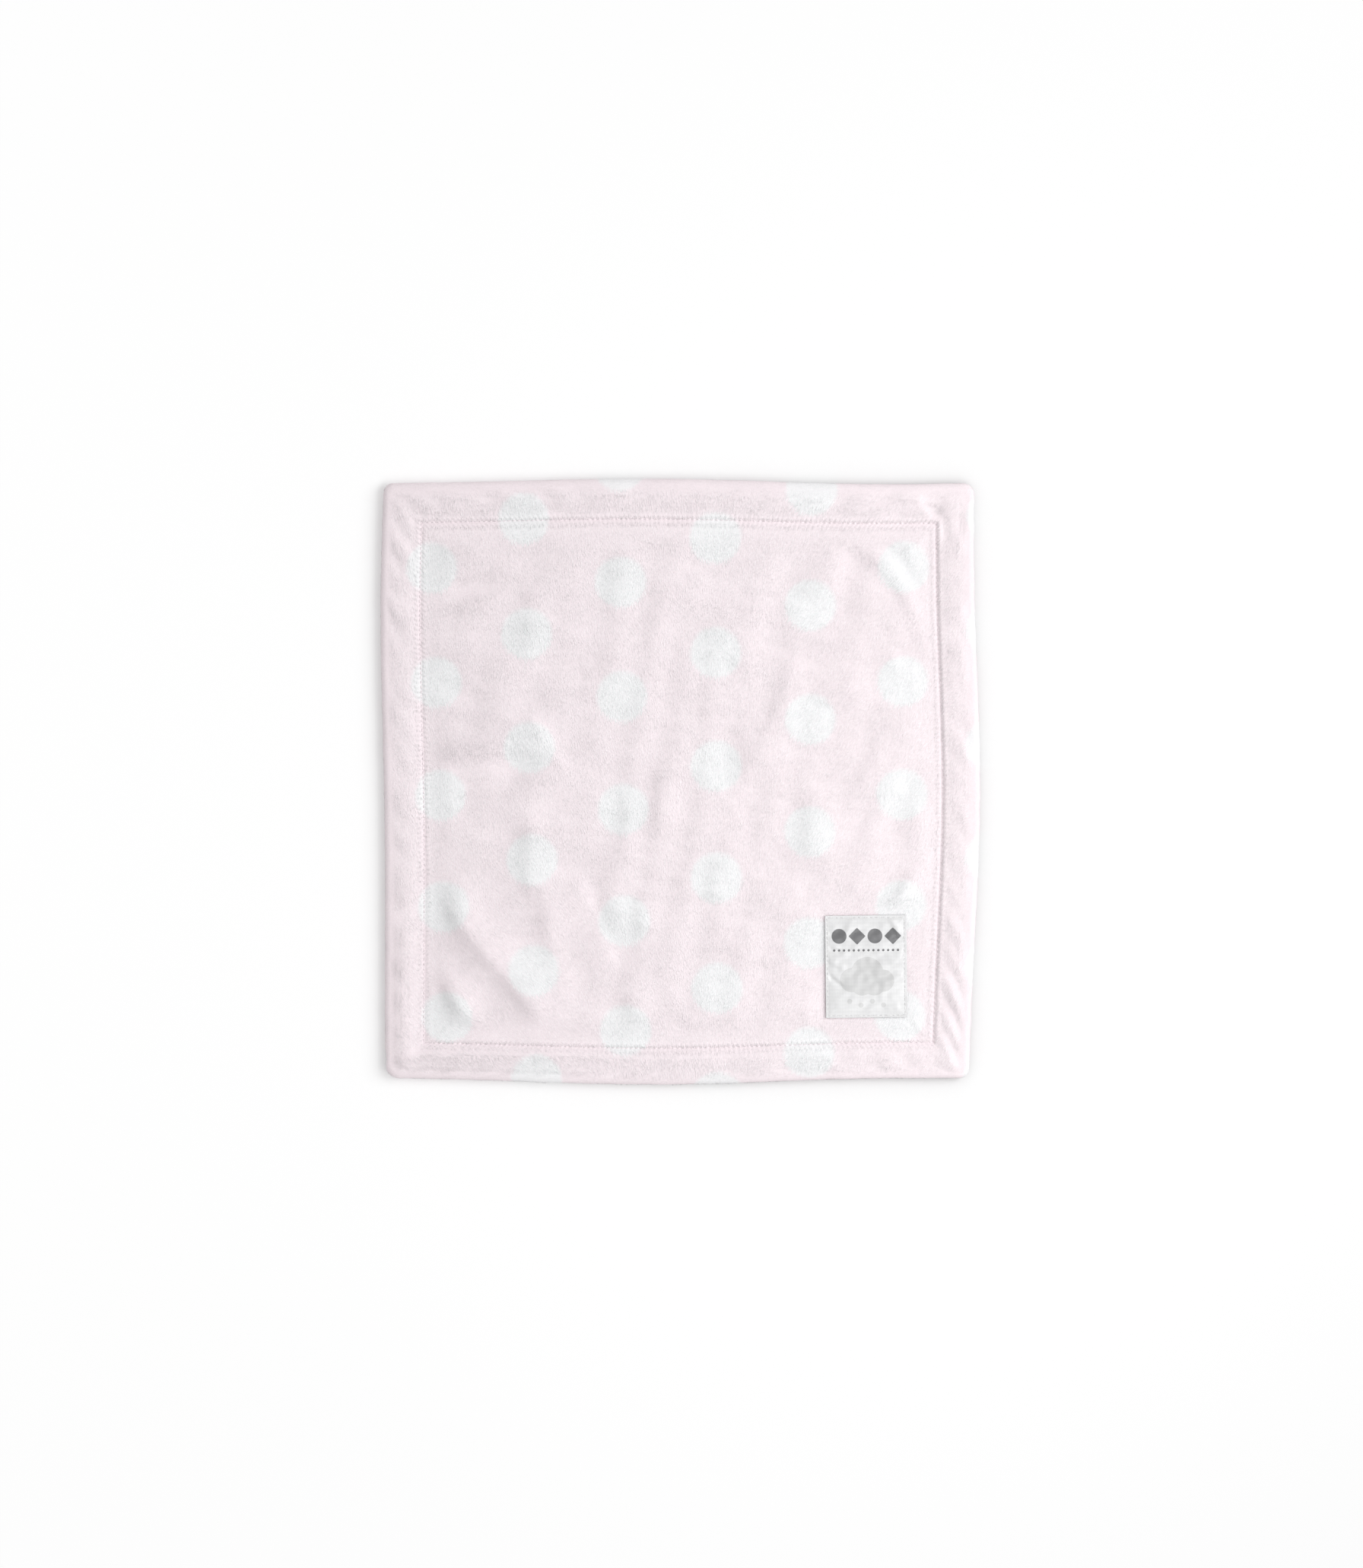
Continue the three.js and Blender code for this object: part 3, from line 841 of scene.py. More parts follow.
@dataclass(frozen=True)
class FloorFinish:
    """A white floor, a shade darker near the lamps so that all of it is lit alike, with a painted
    contact shadow beside the object.
    """

    lamps: tuple[Lamp, ...]
    sky_share: float
    name: str = "studio_floor"
    lit_level: float = 0.96
    falloff: float = 2.3
    shown_level: float = 1.052
    palest: float = 0.98
    painted_shadow_reach: float = 0.02
    painted_shadow_depth: float = 0.18
    painted_shadow_samples: int = 12
    painted_shadow_towards: tuple[float, float, float] = (1.15, -0.15, 0.0)

    def left_by_painted_shadow(self, graph: Graph, place: Any) -> Any:
        """Gives the share of the light that a painted contact shadow leaves beside the object.

        The lit rim throws light on the floor below it and the lamps light the floor beside it,
        so the painted shadow has to be deeper on the side that the lamps light.

        Args:
            graph: The material's graph.
            place: Socket that holds the place on the floor.

        Returns:
            A socket, 1 away from the object.
        """
        open_share = graph.add(
            "ShaderNodeAmbientOcclusion",
            {"Distance": self.painted_shadow_reach},
            samples=self.painted_shadow_samples,
        ).outputs["AO"]
        inputs = {0: place, 1: self.painted_shadow_towards}
        lit_side = graph.add("ShaderNodeVectorMath", inputs, operation="DOT_PRODUCT")
        depth = graph.math("ADD", lit_side.outputs["Value"], self.painted_shadow_depth)
        depth = graph.math("MAXIMUM", depth, 0.0)
        shade = graph.math("MULTIPLY", depth, graph.math("SUBTRACT", 1.0, open_share))
        return graph.math("SUBTRACT", 1.0, shade)

    def material(self) -> Material:
        """Builds the material."""
        material, graph, output = new_material(self.name)
        place = graph.place()
        light = self.sky_share
        for lamp in self.lamps:
            away = graph.add(
                "ShaderNodeVectorMath", {0: place, 1: lamp.place}, operation="DISTANCE"
            ).outputs["Value"]
            nearness = graph.math("POWER", graph.math("DIVIDE", lamp.distance, away), self.falloff)
            light = graph.math("ADD", light, graph.math("MULTIPLY", nearness, lamp.share))
        white = graph.math("MINIMUM", graph.math("DIVIDE", self.lit_level, light), self.palest)
        # Painted contact shadow: it darkens both the floor's colour and its glow beside the
        # object.
        left_by_painted_shadow = self.left_by_painted_shadow(graph, place)
        lit = graph.grey(graph.math("MULTIPLY", white, left_by_painted_shadow))
        diffuse = graph.add("ShaderNodeBsdfDiffuse", {"Color": lit}).outputs["BSDF"]
        lift = graph.math("SUBTRACT", self.shown_level, graph.math("MULTIPLY", white, light))
        lift = graph.math("MULTIPLY", lift, left_by_painted_shadow)
        strength = graph.math("MULTIPLY", seen_directly(graph), lift)
        glow = graph.add("ShaderNodeEmission", {"Strength": strength}).outputs["Emission"]
        both = graph.add("ShaderNodeAddShader", {0: diffuse, 1: glow}).outputs[0]
        graph.tree.links.new(both, output.inputs["Surface"])
        return material


def seen_directly(graph: Graph) -> Any:
    """Gives 1 on rays that show a surface itself, and 0 on rays that light others."""
    path = graph.add("ShaderNodeLightPath").outputs
    mirrored = graph.math("MAXIMUM", path["Is Glossy Ray"], path["Is Transmission Ray"])
    return graph.math("MAXIMUM", path["Is Camera Ray"], mirrored)


class Recipe:
    """A Geometry Nodes tree with named inputs, which turns a mesh into a finished one."""

    def __init__(self, name: str, inputs: dict[str, str]) -> None:
        """Starts the tree.

        Args:
            name: The tree's name.
            inputs: The kind of socket of each named input.
        """
        self.tree = bpy.data.node_groups.new(name, "GeometryNodeTree")
        self.graph = Graph(self.tree)
        self.identifiers: dict[str, str] = {}
        sockets = self.tree.interface
        for label, kind in {"Geometry": "Geometry", **inputs}.items():
            socket = sockets.new_socket(label, in_out="INPUT", socket_type="NodeSocket" + kind)
            self.identifiers[label] = socket.identifier
        sockets.new_socket("Geometry", in_out="OUTPUT", socket_type="NodeSocketGeometry")
        self.inputs = self.graph.add("NodeGroupInput").outputs
        self.output = self.graph.add("NodeGroupOutput")

    def named(self, name: str, kind: str = "FLOAT") -> Any:
        """Reads a named value of the geometry."""
        node = self.graph.add("GeometryNodeInputNamedAttribute", {"Name": name}, data_type=kind)
        return node.outputs["Attribute"]

    def store(self, geometry: Any, name: str, value: Any, kind: str = "FLOAT") -> Any:
        """Stores a value on the geometry's points under a name."""
        inputs = {"Geometry": geometry, "Name": name, "Value": value}
        node = self.graph.add("GeometryNodeStoreNamedAttribute", inputs, data_type=kind)
        return node.outputs["Geometry"]

    def draw(self, low: Any, high: Any, kind: str = "FLOAT") -> Any:
        """Draws a random value for each point between two, with the tree's seed."""
        first, result = (2, 1) if kind == "FLOAT" else (0, 0)
        inputs = {first: low, first + 1: high, "Seed": self.inputs["Seed"]}
        node = self.graph.add("FunctionNodeRandomValue", inputs, data_type=kind)
        return node.outputs[result]

    def facing(self, axes: str, first: Any, second: Any) -> Any:
        """Gives the rotation that turns two named axes into two directions."""
        node = self.graph.add(
            "FunctionNodeAxesToRotation",
            {"Primary Axis": first, "Secondary Axis": second},
            primary_axis=axes[0],
            secondary_axis=axes[1],
        )
        return node.outputs[0]

    def finish(self, points: Any, label: str, rotation: Any, **further: Any) -> None:
        """Ends the tree: copies of an object on points, made real, with their material.

        Args:
            points: The points that bear the copies.
            label: The named input that holds the object.
            rotation: How each copy is turned.
            further: Further inputs of the copies.
        """
        graph = self.graph
        copied = graph.add("GeometryNodeObjectInfo", {"Object": self.inputs[label]})
        inputs = {"Points": points, "Instance": copied.outputs["Geometry"]}
        inputs |= {"Rotation": rotation, **further}
        placed = graph.add("GeometryNodeInstanceOnPoints", inputs).outputs["Instances"]
        real = graph.add("GeometryNodeRealizeInstances", {"Geometry": placed})
        inputs = {"Geometry": real.outputs["Geometry"], "Material": self.inputs["Finish"]}
        dressed = graph.add("GeometryNodeSetMaterial", inputs).outputs["Geometry"]
        self.tree.links.new(dressed, self.output.inputs["Geometry"])

    def make(self, source: Mesh, name: str, values: dict[str, Any]) -> Piece:
        """Runs the tree on a mesh and keeps the result as a plain piece.

        Args:
            source: The mesh that the tree starts from.
            name: The finished piece's name.
            values: A value for each named input.

        Returns:
            The piece, with no modifier left.
        """
        carrier = bpy.data.objects.new(name + "_carrier", source)
        bpy.context.scene.collection.objects.link(carrier)
        modifier = carrier.modifiers.new(self.tree.name, "NODES")
        modifier.node_group = self.tree
        for label, value in values.items():
            modifier[self.identifiers[label]] = value
        graph = bpy.context.evaluated_depsgraph_get()
        mesh = bpy.data.meshes.new_from_object(carrier.evaluated_get(graph))
        bpy.data.objects.remove(carrier)
        mesh.name = name
        return new_piece(name, mesh)


def new_piece(name: str, mesh: Mesh) -> Piece:
    """Puts a mesh into the scene as an object at the origin."""
    piece = bpy.data.objects.new(name, mesh)
    bpy.context.scene.collection.objects.link(piece)
    return piece


def register(piece: Piece, replaces: Sequence[str] = ()) -> Piece:
    """Fixes a finished piece to the blanket's one body.

    Args:
        piece: The piece.
        replaces: The solids that it stands for.

    Returns:
        The same piece.
    """
    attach(piece, ROOT)
    if replaces:
        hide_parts(*replaces)
    log.info("%s: %d faces", piece.name, len(piece.data.polygons))
    return piece


@dataclass(frozen=True)
class ClothSizes:
    """Thicknesses and levels of the two plush sheets, as the solids have them.

    Places across the border are given as reaches, outwards from the topstitching.
    """

    cloth: float = 1.5
    clearance: float = 0.3
    rim_roll: float = 4.2
    seam_allowance: float = 10.0
    seam_thread: float = 0.3
    topstitch_thread: float = 0.5
    sewn: float = 1.0
    channel_reach: float = 4.0
    crown_puff: float = 0.7
    crown_place_share: float = 0.62
    pile_depth: float = 0.7
    rim_pile: float = 0.35
    rim_turn: float = 4.0
    border: float = 23.0

    @property
    def seam_room(self) -> float:
        """Room that a seam's thread takes in the fold of the rim."""
        return self.seam_thread + 2 * self.clearance

    @property
    def rim_height(self) -> float:
        """Height of the rim: four layers of cloth, and its seam."""
        return 4 * self.cloth + 2 * self.seam_room + self.clearance

    @property
    def seam_level(self) -> float:
        """Height at which the two sheets meet."""
        return self.rim_height / 2

    @property
    def channel_lift(self) -> float:
        """Height of the back sheet over the thread below it."""
        return self.topstitch_thread + 2 * self.clearance

    @property
    def front_channel_under(self) -> float:
        """Lower face of the front sheet where it is topstitched."""
        return self.channel_lift + self.sewn + self.clearance

    @property
    def front_channel_top(self) -> float:
        """Upper face of the front sheet where it is topstitched."""
        return self.front_channel_under + self.sewn

    @property
    def front_field_top(self) -> float:
        """Upper face of the front sheet where it lies flat on the back sheet."""
        return 2 * self.cloth + self.clearance

    @property
    def fold_reach(self) -> float:
        """Reach at which the rim starts to roll down."""
        return self.border - self.rim_roll

    @property
    def crown_reach(self) -> float:
        """Reach at which the border is highest."""
        return self.border * self.crown_place_share

    @property
    def allowance_reach(self) -> float:
        """Reach at which the turned-in allowance ends."""
        return self.border - self.seam_allowance


@dataclass(frozen=True)
class LabelSeat:
    """Where the woven label lies, and how the front sheet is level under it."""

    lay: BlanketLay
    width: float = 48.2
    height: float = 60.5
    from_side: float = 18.5
    from_bottom: float = 15.6
    turn: float = math.radians(0.6)
    lift: float = 1.8
    margin: float = 12.0

    @cached_property
    def centre(self) -> Pair:
        """The label's middle on the true square."""
        lines = self.lay.stitch_lines
        return (
            lines[Side.RIGHT] - self.from_side - self.width / 2,
            lines[Side.BOTTOM] + self.from_bottom + self.height / 2,
        )

    def outside(self, x: Array, y: Array) -> Array:
        """Measures how far places on the true square lie outside the label."""
        over_x = np.abs(x - self.centre[0]) - self.width / 2
        over_y = np.abs(y - self.centre[1]) - self.height / 2
        return np.maximum(over_x, over_y)

    @cached_property
    def laid_centre(self) -> Pair:
        """The label's middle on the laid blanket."""
        x, y = self.lay.lie(np.array([self.centre[0]]), np.array([self.centre[1]]))
        return float(x[0]), float(y[0])

    def laid(self, along: Array, up: Array) -> tuple[Array, Array]:
        """Lays points of the label, given from its middle, as a firm rectangle."""
        turned_x = along * math.cos(self.turn) - up * math.sin(self.turn)
        turned_y = along * math.sin(self.turn) + up * math.cos(self.turn)
        return self.laid_centre[0] + turned_x, self.laid_centre[1] + turned_y

    def covered(self, x: Array, y: Array, margin: float) -> Array:
        """Tells which laid places lie under the label by at least a margin."""
        away_x, away_y = x - self.laid_centre[0], y - self.laid_centre[1]
        along = away_x * math.cos(self.turn) + away_y * math.sin(self.turn)
        up = away_y * math.cos(self.turn) - away_x * math.sin(self.turn)
        inside_x = self.width / 2 - margin - np.abs(along)
        inside_y = self.height / 2 - margin - np.abs(up)
        return np.minimum(inside_x, inside_y) > 0


@dataclass(frozen=True)
class FrontRelief:
    """Heights of the front sheet's face: its field, its channel and its border."""

    lay: BlanketLay
    sizes: ClothSizes
    seat: LabelSeat
    puckers: Puckers
    lift: float = 2.4
    edge_lift_share: float = 0.7
    fade_in: float = 14.0
    fold_fade: float = 20.0
    folds: tuple[Crease, ...] = (
        Crease((-34, 152), (-38, 90), 1.4, 8.5, 12.0),
        Crease((0, 168), (-2, 118), 1.0, 6.0, 9.0),
        Crease((18, 112), (13, -20), 0.8, 6.5, 10.0, 3.0),
        Crease((-10, 118), (-20, 34), 0.8, 7.0, 9.0),
        Crease((73, 84), (32, -12), 1.5, 6.0, 11.0, 3.0),
        Crease((46, 118), (26, 24), 0.8, 7.0, 8.0),
        Crease((80, 2), (78, -56), 2.0, 8.5, 12.0),
        Crease((138, 22), (106, -40), 0.8, 6.0, 7.0),
        Crease((124, 32), (94, -32), 0.7, 6.0, 6.0),
        Crease((162, -30), (112, -92), 2.2, 5.0, 9.0),
        Crease((74, 160), (158, 44), 1.4, 6.0, 7.0, 19.0, 0.2),
        Crease((122, 150), (158, 98), 1.0, 6.0, 6.0, 4.0),
        Crease((-172, 102), (-96, 120), -1.0, 6.0, 7.0),
        Crease((-172, 97), (-98, 106), 0.6, 7.0, 9.0),
        Crease((-87, 126), (-86, 56), 1.8, 9.0, 12.0),
        Crease((-54, 74), (-54, 42), 0.8, 5.0, 8.0),
        Crease((-172, 64), (-108, 42), -1.1, 6.0, 7.0),
        Crease((-162, 16), (-70, 21), 2.6, 7.0, 11.0, 0.0, 0.42),
        Crease((-98, 48), (-64, -8), 2.2, 16.0, 6.0, 2.0, 0.4),
        Crease((-87, -14), (-88, -78), 3.0, 8.0, 13.0),
        Crease((-84, -56), (-70, -140), 1.7, 7.0, 8.0, 2.0),
        Crease((-158, -46), (-64, -160), 3.9, 10.0, 11.0, 0.0, 0.3),
        Crease((-156, -54), (-78, -145), 0.5, 4.0, 4.0, 0.0, 0.2),
        Crease((-160, -86), (-106, -176), 2.9, 8.0, 10.0, -2.0, 0.4),
        Crease((-157, -100), (-105, -160), 1.9, 4.5, 7.0, -1.0, 0.3),
        Crease((-58, -48), (-32, -116), -1.3, 5.0, 7.0),
        Crease((-22, -56), (-22, -96), 1.1, 6.0, 9.0),
        Crease((-31, -2), (-31, -54), 1.0, 5.0, 8.0),
        Crease((-11, 18), (-12, -38), 1.0, 5.0, 8.0),
        Crease((20, -40), (18, -74), 0.7, 5.0, 7.0),
        Crease((-10, -122), (16, -160), 0.9, 6.0, 7.0),
        Crease((-34, -120), (-12, -158), 0.8, 6.0, 7.0),
        Crease((60, -150), (110, -122), 1.0, 6.0, 7.0),
    )
    corner_folds: tuple[Crease, ...] = (
        Crease((142, 188), (158, 136), -1.4, 5.0, 6.0),
        Crease((-176, 184), (-148, 144), -1.0, 6.0, 6.0),
        Crease((-180, 154), (-148, 132), -0.6, 6.0, 6.0),
        Crease((-86, 184), (-71, 150), -0.9, 6.0, 6.0),
        Crease((-186, -66), (-150, -80), -0.8, 6.0, 6.0),
        Crease((-163, -40), (-164, -190), 1.3, 7.0, 4.0),
        Crease((-190, -163), (-20, -163), 1.3, 7.0, 4.0),
    )
    drape: Ripples = Ripples(26.0, 0.4, 15)
    drape_lean: float = math.radians(14)
    drape_stretch: float = 0.24
    broad: Ripples = Ripples(38.0, 0.45, 11)
    close: Ripples = Ripples(12.0, 0.06, 12)
    border_waves: Ripples = Ripples(24.0, 0.16, 13)
    edge_waves: Ripples = Ripples(16.0, 0.12, 14)
    waves_start: float = 6.0
    waves_end: float = 14.5
    waves_fade: float = 4.0
    dimple_depth: float = 0.2
    stitch_puff: float = 0.2
    stitch_reach: float = 1.2
    puff_reach: float = 1.9
    corner_blend: float = 0.06
    fillings: tuple[tuple[float, int, float], ...] = ((0.55, 22, 0.6), (0.45, 13, 2.1))
    stitch_level: float = 4.6
    crown_level: float = 7.5
    shoulder_level: float = 7.6
    least: float = 6.9
    least_fade: float = 4.0
    crease_reach: float = 1.3
    crease_lead: float = 0.5
    roll_reach: float = 6.5
    crease_rise: dict[Side, float] = field(
        default_factory=lambda: {
            Side.BOTTOM: 1.1,
            Side.RIGHT: 1.8,
            Side.TOP: 1.0,
            Side.LEFT: 0.8,
        }
    )

    def field(self, x: Array, y: Array) -> Array:
        """Gives the pile's upper level inside the topstitching, on the true square."""
        inside = self.lay.inside(x, y, self.lay.rectangle(-self.sizes.channel_reach))
        free = smooth_step(inside / self.fade_in)
        rise = self.lift * (self.edge_lift_share + (1 - self.edge_lift_share) * free)
        laid_x, laid_y = self.lay.lie(x, y)
        near = smooth_step(inside / self.fold_fade)
        for fold in self.folds:
            rise = rise + near * fold.at(laid_x, laid_y)
        across = x * math.cos(self.drape_lean) - y * math.sin(self.drape_lean)
        along = x * math.sin(self.drape_lean) + y * math.cos(self.drape_lean)
        draped = self.drape.at(across, self.drape_stretch * along)
        rise = rise + near * (draped + self.broad.at(x, y) + self.close.at(x, y))
        free_of_label = smooth_step(self.seat.outside(x, y) / self.seat.margin)
        seated = blend(self.seat.lift, np.maximum(rise, 0), free_of_label)
        return self.sizes.front_field_top + seated

    def stitched(self, reach: float, phase: Array) -> Array:
        """Gives the small relief that the stitches draw into the pile.

        Args:
            reach: Distance outside the stitch line.
            phase: Places along the line, counted in stitches.

        Returns:
            Heights to add.
        """
        hole = (0.5 + 0.5 * np.cos(2 * np.pi * phase)) ** 2
        dimple = self.dimple_depth * hole * math.exp(-((reach / self.stitch_reach) ** 2))
        beside = math.exp(-(((abs(reach) - self.puff_reach) / self.stitch_reach) ** 2))
        return self.stitch_puff * (1 - hole) * beside - dimple

    def border(self, shares: Array, reach: float, phase: Array, edge: Array) -> Array:
        """Gives the pile's upper level from the channel to the rim's shoulder.

        Args:
            shares: Stations round the square.
            reach: Distance outside the stitch line.
            phase: Places along the line, counted in stitches.
            edge: Heights of the field's edge at the stations.

        Returns:
            Heights above the surface that the blanket lies on.
        """
        sizes = self.sizes
        x, y = self.lay.lie(*self.lay.place(shares, reach))
        if reach < 0:
            near = math.exp(-((reach / self.crease_reach) ** 2))
            level = edge - (edge - self.stitch_level) * near
            return level + self.stitched(reach, phase)
        away = self.from_stitching(shares, reach)
        crown = self.crown_level + sizes.crown_puff * self.puff(shares)
        steep = (away + self.crease_lead) / self.crease_reach
        first = self.side_rise(shares) * (1 - np.exp(-(steep**2)))
        left = crown - self.stitch_level - self.side_rise(shares)
        level = self.stitch_level + first + left * (1 - np.exp(-((away / self.roll_reach) ** 2)))
        span = sizes.fold_reach - sizes.crown_reach
        fall = smooth_step((reach - sizes.crown_reach) / span)
        level = blend(level, self.shoulder_level, fall)
        free = smooth_step(reach / self.waves_start)
        free = free * (1 - smooth_step((reach - self.waves_end) / self.waves_fade))
        relief = self.border_waves.at(x, y) + self.puckers.at(phase * self.lay.stitch_pitch, reach)
        for fold in self.corner_folds:
            relief = relief + fold.at(x, y)
        level = level + free * relief
        inwards = reach - sizes.allowance_reach + self.least_fade
        raised = blend(level, self.least, smooth_step(inwards / self.least_fade))
        level = np.where(level < self.least, raised, level)
        return level + self.stitched(reach, phase)

    def from_stitching(self, shares: Array, reach: float) -> Array:
        """Gives the true distance outside the stitched square, which is round at corners."""
        x, y = self.lay.place(shares, reach)
        lines = self.lay.stitch_lines
        over_x = np.maximum(np.maximum(x - lines[Side.RIGHT], lines[Side.LEFT] - x), 0)
        over_y = np.maximum(np.maximum(y - lines[Side.TOP], lines[Side.BOTTOM] - y), 0)
        return np.hypot(over_x, over_y)

    def side_rise(self, shares: Array) -> Array:
        """Gives how steeply the border leaves the stitching at each station."""
        across, up = shares[:, 0], shares[:, 1]
        rise = self.crease_rise
        beside = np.where(across > 0, rise[Side.RIGHT], rise[Side.LEFT])
        along = np.where(up > 0, rise[Side.TOP], rise[Side.BOTTOM])
        lead = np.abs(across) - np.abs(up) + self.corner_blend
        return blend(along, beside, smooth_step(lead / (2 * self.corner_blend)))

    def puff(self, shares: Array) -> Array:
        """Gives the border's uneven filling, from 0 to 1, round the square."""
        angle = np.arctan2(shares[:, 1], shares[:, 0])
        filled = np.zeros(len(shares))
        for share, count, turn in self.fillings:
            filled = filled + share * (1 + np.sin(count * angle + turn)) / 2
        return filled


@dataclass(frozen=True)
class Nap:
    """The way that the pile lies, and how long it stands, over one sheet."""

    lean_right: float = math.radians(40)
    lean_left: float = math.radians(32)
    middle: float = 20.0
    right_span: float = 120.0
    left_span: float = 90.0
    swirl: Ripples = Ripples(38.0, math.radians(10), 21)
    tousle: Ripples = Ripples(9.0, math.radians(3), 22)
    clumps: Ripples = Ripples(5.5, 0.08, 23)

    def heading(self, x: Array, y: Array) -> Array:
        """Gives the directions in the plane in which the pile lies, n by 3."""
        to_left = self.lean_right * smooth_step((x + self.middle) / self.right_span)
        to_right = self.lean_left * smooth_step(-x / self.left_span)
        to_right = to_right * smooth_step(-(y + self.middle) / self.left_span)
        angle = -np.pi / 2 - to_left + to_right
        angle = angle + self.swirl.at(x, y) + self.tousle.at(x, y)
        return np.stack([np.cos(angle), np.sin(angle), np.zeros_like(angle)], axis=1)

    def length(self, x: Array, y: Array) -> Array:
        """Gives the pile's length in shares of the usual one."""
        return 1 + self.clumps.at(x, y)


@dataclass(frozen=True)
class PlushSheet:
    """What the front sheet and the back sheet have in common."""

    lay: BlanketLay
    sizes: ClothSizes
    finish: Material
    dots: DotPattern
    nap: Nap
    print_lead: float = 1.9
    # Painted shade over the bare sheet between the tufts, where the pile would shade it.
    ground_shade: float = 0.96
    rim_starts: float = 15.5
    rim_span: float = 4.0
    rim_pile_share: float = 0.42
    bare_reach: float = 0.35
    bare_fade: float = 0.5
    short_reach: float = 3.5
    short_share: float = 0.5
    side_share: float = 0.97
    roll_turns: tuple[float, ...] = (10, 22, 35, 48, 61, 75, 90)

    @property
    def inner_steps(self) -> list[Pair]:
        """Reaches and levels of the turned-in cloth, from the seam to the channel."""
        raise NotImplementedError

    def roll_level(self, shoulder: Any, turn: float) -> Any:
        """Gives the rim's heights where it has rolled by a turn from its shoulder."""
        raise NotImplementedError

    def loop(
        self,
        shares: Array,
        reach: float,
        height: Any,
        bears_pile: bool = False,
        cloth_reach: float | None = None,
    ) -> Points:
        """Lays a loop of points round the square.

        Args:
            shares: Stations round the square.
            reach: Distance outside the stitch line.
            height: One height, or one for each station.
            bears_pile: Whether pile grows there.
            cloth_reach: The distance along the cloth, where it is another one.

        Returns:
            The loop's points.
        """
        along = float(reach if cloth_reach is None else cloth_reach)
        x, y = self.lay.lie(*self.lay.place(shares, reach))
        cloth = np.stack(self.lay.lie(*self.lay.place(shares, along)), axis=1)
        place = np.stack([x, y, np.broadcast_to(height, x.shape)], axis=1)
        return Points(place, cloth, np.full(len(x), along), bears_pile)

    def roll(
        self,
        shell: Shell,
        edge: Array,
        shares: Array,
        shoulder: Any,
        wave: Array | float = 0.0,
    ) -> Array:
        """Rolls the rim from its shoulder to the seam.

        Args:
            shell: The shell under construction.
            edge: Numbers of the shoulder's points.
            shares: Stations round the square.
            shoulder: Heights of the shoulder.
            wave: How far the rim stands out of its line at each station.

        Returns:
            Numbers of the seam's points.
        """
        sizes = self.sizes
        for degrees in self.roll_turns:
            turn = math.radians(degrees)
            reach = sizes.fold_reach + (sizes.rim_roll - sizes.rim_pile) * math.sin(turn)
            along = sizes.fold_reach + sizes.seam_level * turn
            points = self.loop(shares, reach, self.roll_level(shoulder, turn), True, along)
            outwards = points.place[:, :2] / np.abs(points.place[:, :2]).max(axis=1)[:, None]
            outwards = np.where(np.abs(outwards) > self.side_share, outwards, 0)
            offset = np.broadcast_to(wave * math.sin(turn), len(shares))
            points.place[:, :2] += outwards * offset[:, None]
            edge = shell.join(edge, points)
        return edge

    def turned_in(self, shell: Shell, edge: Array, shares: Array) -> Array:
        """Turns the cloth in at the seam and brings its inner face back to the channel."""
        for reach, level in self.inner_steps:
            edge = shell.join(edge, self.loop(shares, reach, level))
        return edge

    def grid(self, cells: int) -> tuple[Array, Array]:
        """Gives the field's grid on the true square, columns first."""
        lines = self.lay.rectangle(-self.sizes.channel_reach)
        xs = np.linspace(lines[Side.LEFT], lines[Side.RIGHT], cells + 1)
        ys = np.linspace(lines[Side.BOTTOM], lines[Side.TOP], cells + 1)
        return np.meshgrid(xs, ys, indexing="ij")

    def grid_points(self, x: Array, y: Array, height: Any, bears_pile: bool = False) -> Points:
        """Lays the field's grid at its heights."""
        place = np.stack([*self.lay.lie(x, y), np.broadcast_to(height, x.shape)], axis=-1)
        inside = self.lay.inside(x, y, self.lay.stitch_lines)
        return Points(place, place[..., :2], -inside, bears_pile)

    def dress(self, mesh: Mesh, shell: Shell, bare: Array) -> None:
        """Stores on a sheet what its finish and its pile read.

        Args:
            mesh: The sheet's mesh.
            shell: The shell that it was made from.
            bare: For each point, 1 where something covers the cloth, else 0.
        """
        cloth, reach = shell.gathered("cloth"), shell.gathered("reach")
        x, y = cloth[:, 0], cloth[:, 1]
        heading = self.nap.heading(x, y)
        lead = self.print_lead * heading
        set_values(mesh, "dot_reach", self.dots.reach(x + lead[:, 0], y + lead[:, 1]))
        # The bare sheet counts as the pile's root, so it takes the painted root shade in full.
        set_values(mesh, "tip", np.zeros(len(x)))
        # Painted shade on the bare sheet; the tufts store their own random tone under the same
        # name.
        set_values(mesh, "tuft_tone", np.full(len(x), self.ground_shade))
        normals = read_values(mesh.vertex_normals, "vector", 3)
        set_values(mesh, "nap", heading - normals * np.sum(heading * normals, axis=1)[:, None])
        grown = shell.gathered("bears_pile")
        beside = np.abs(reach)
        cover = grown * smooth_step((beside - self.bare_reach) / self.bare_fade) * (1 - bare)
        set_values(mesh, "pile_cover", cover)
        near = blend(self.short_share, 1.0, smooth_step(beside / self.short_reach))
        over_rim = smooth_step((reach - self.rim_starts) / self.rim_span)
        near = near * blend(1.0, self.rim_pile_share, over_rim)
        set_values(mesh, "pile_length", self.nap.length(x, y) * near)
        set_values(mesh, "pile_region", self.regions(mesh, x, y, reach, grown), "FACE")
        mesh.materials.append(self.finish)

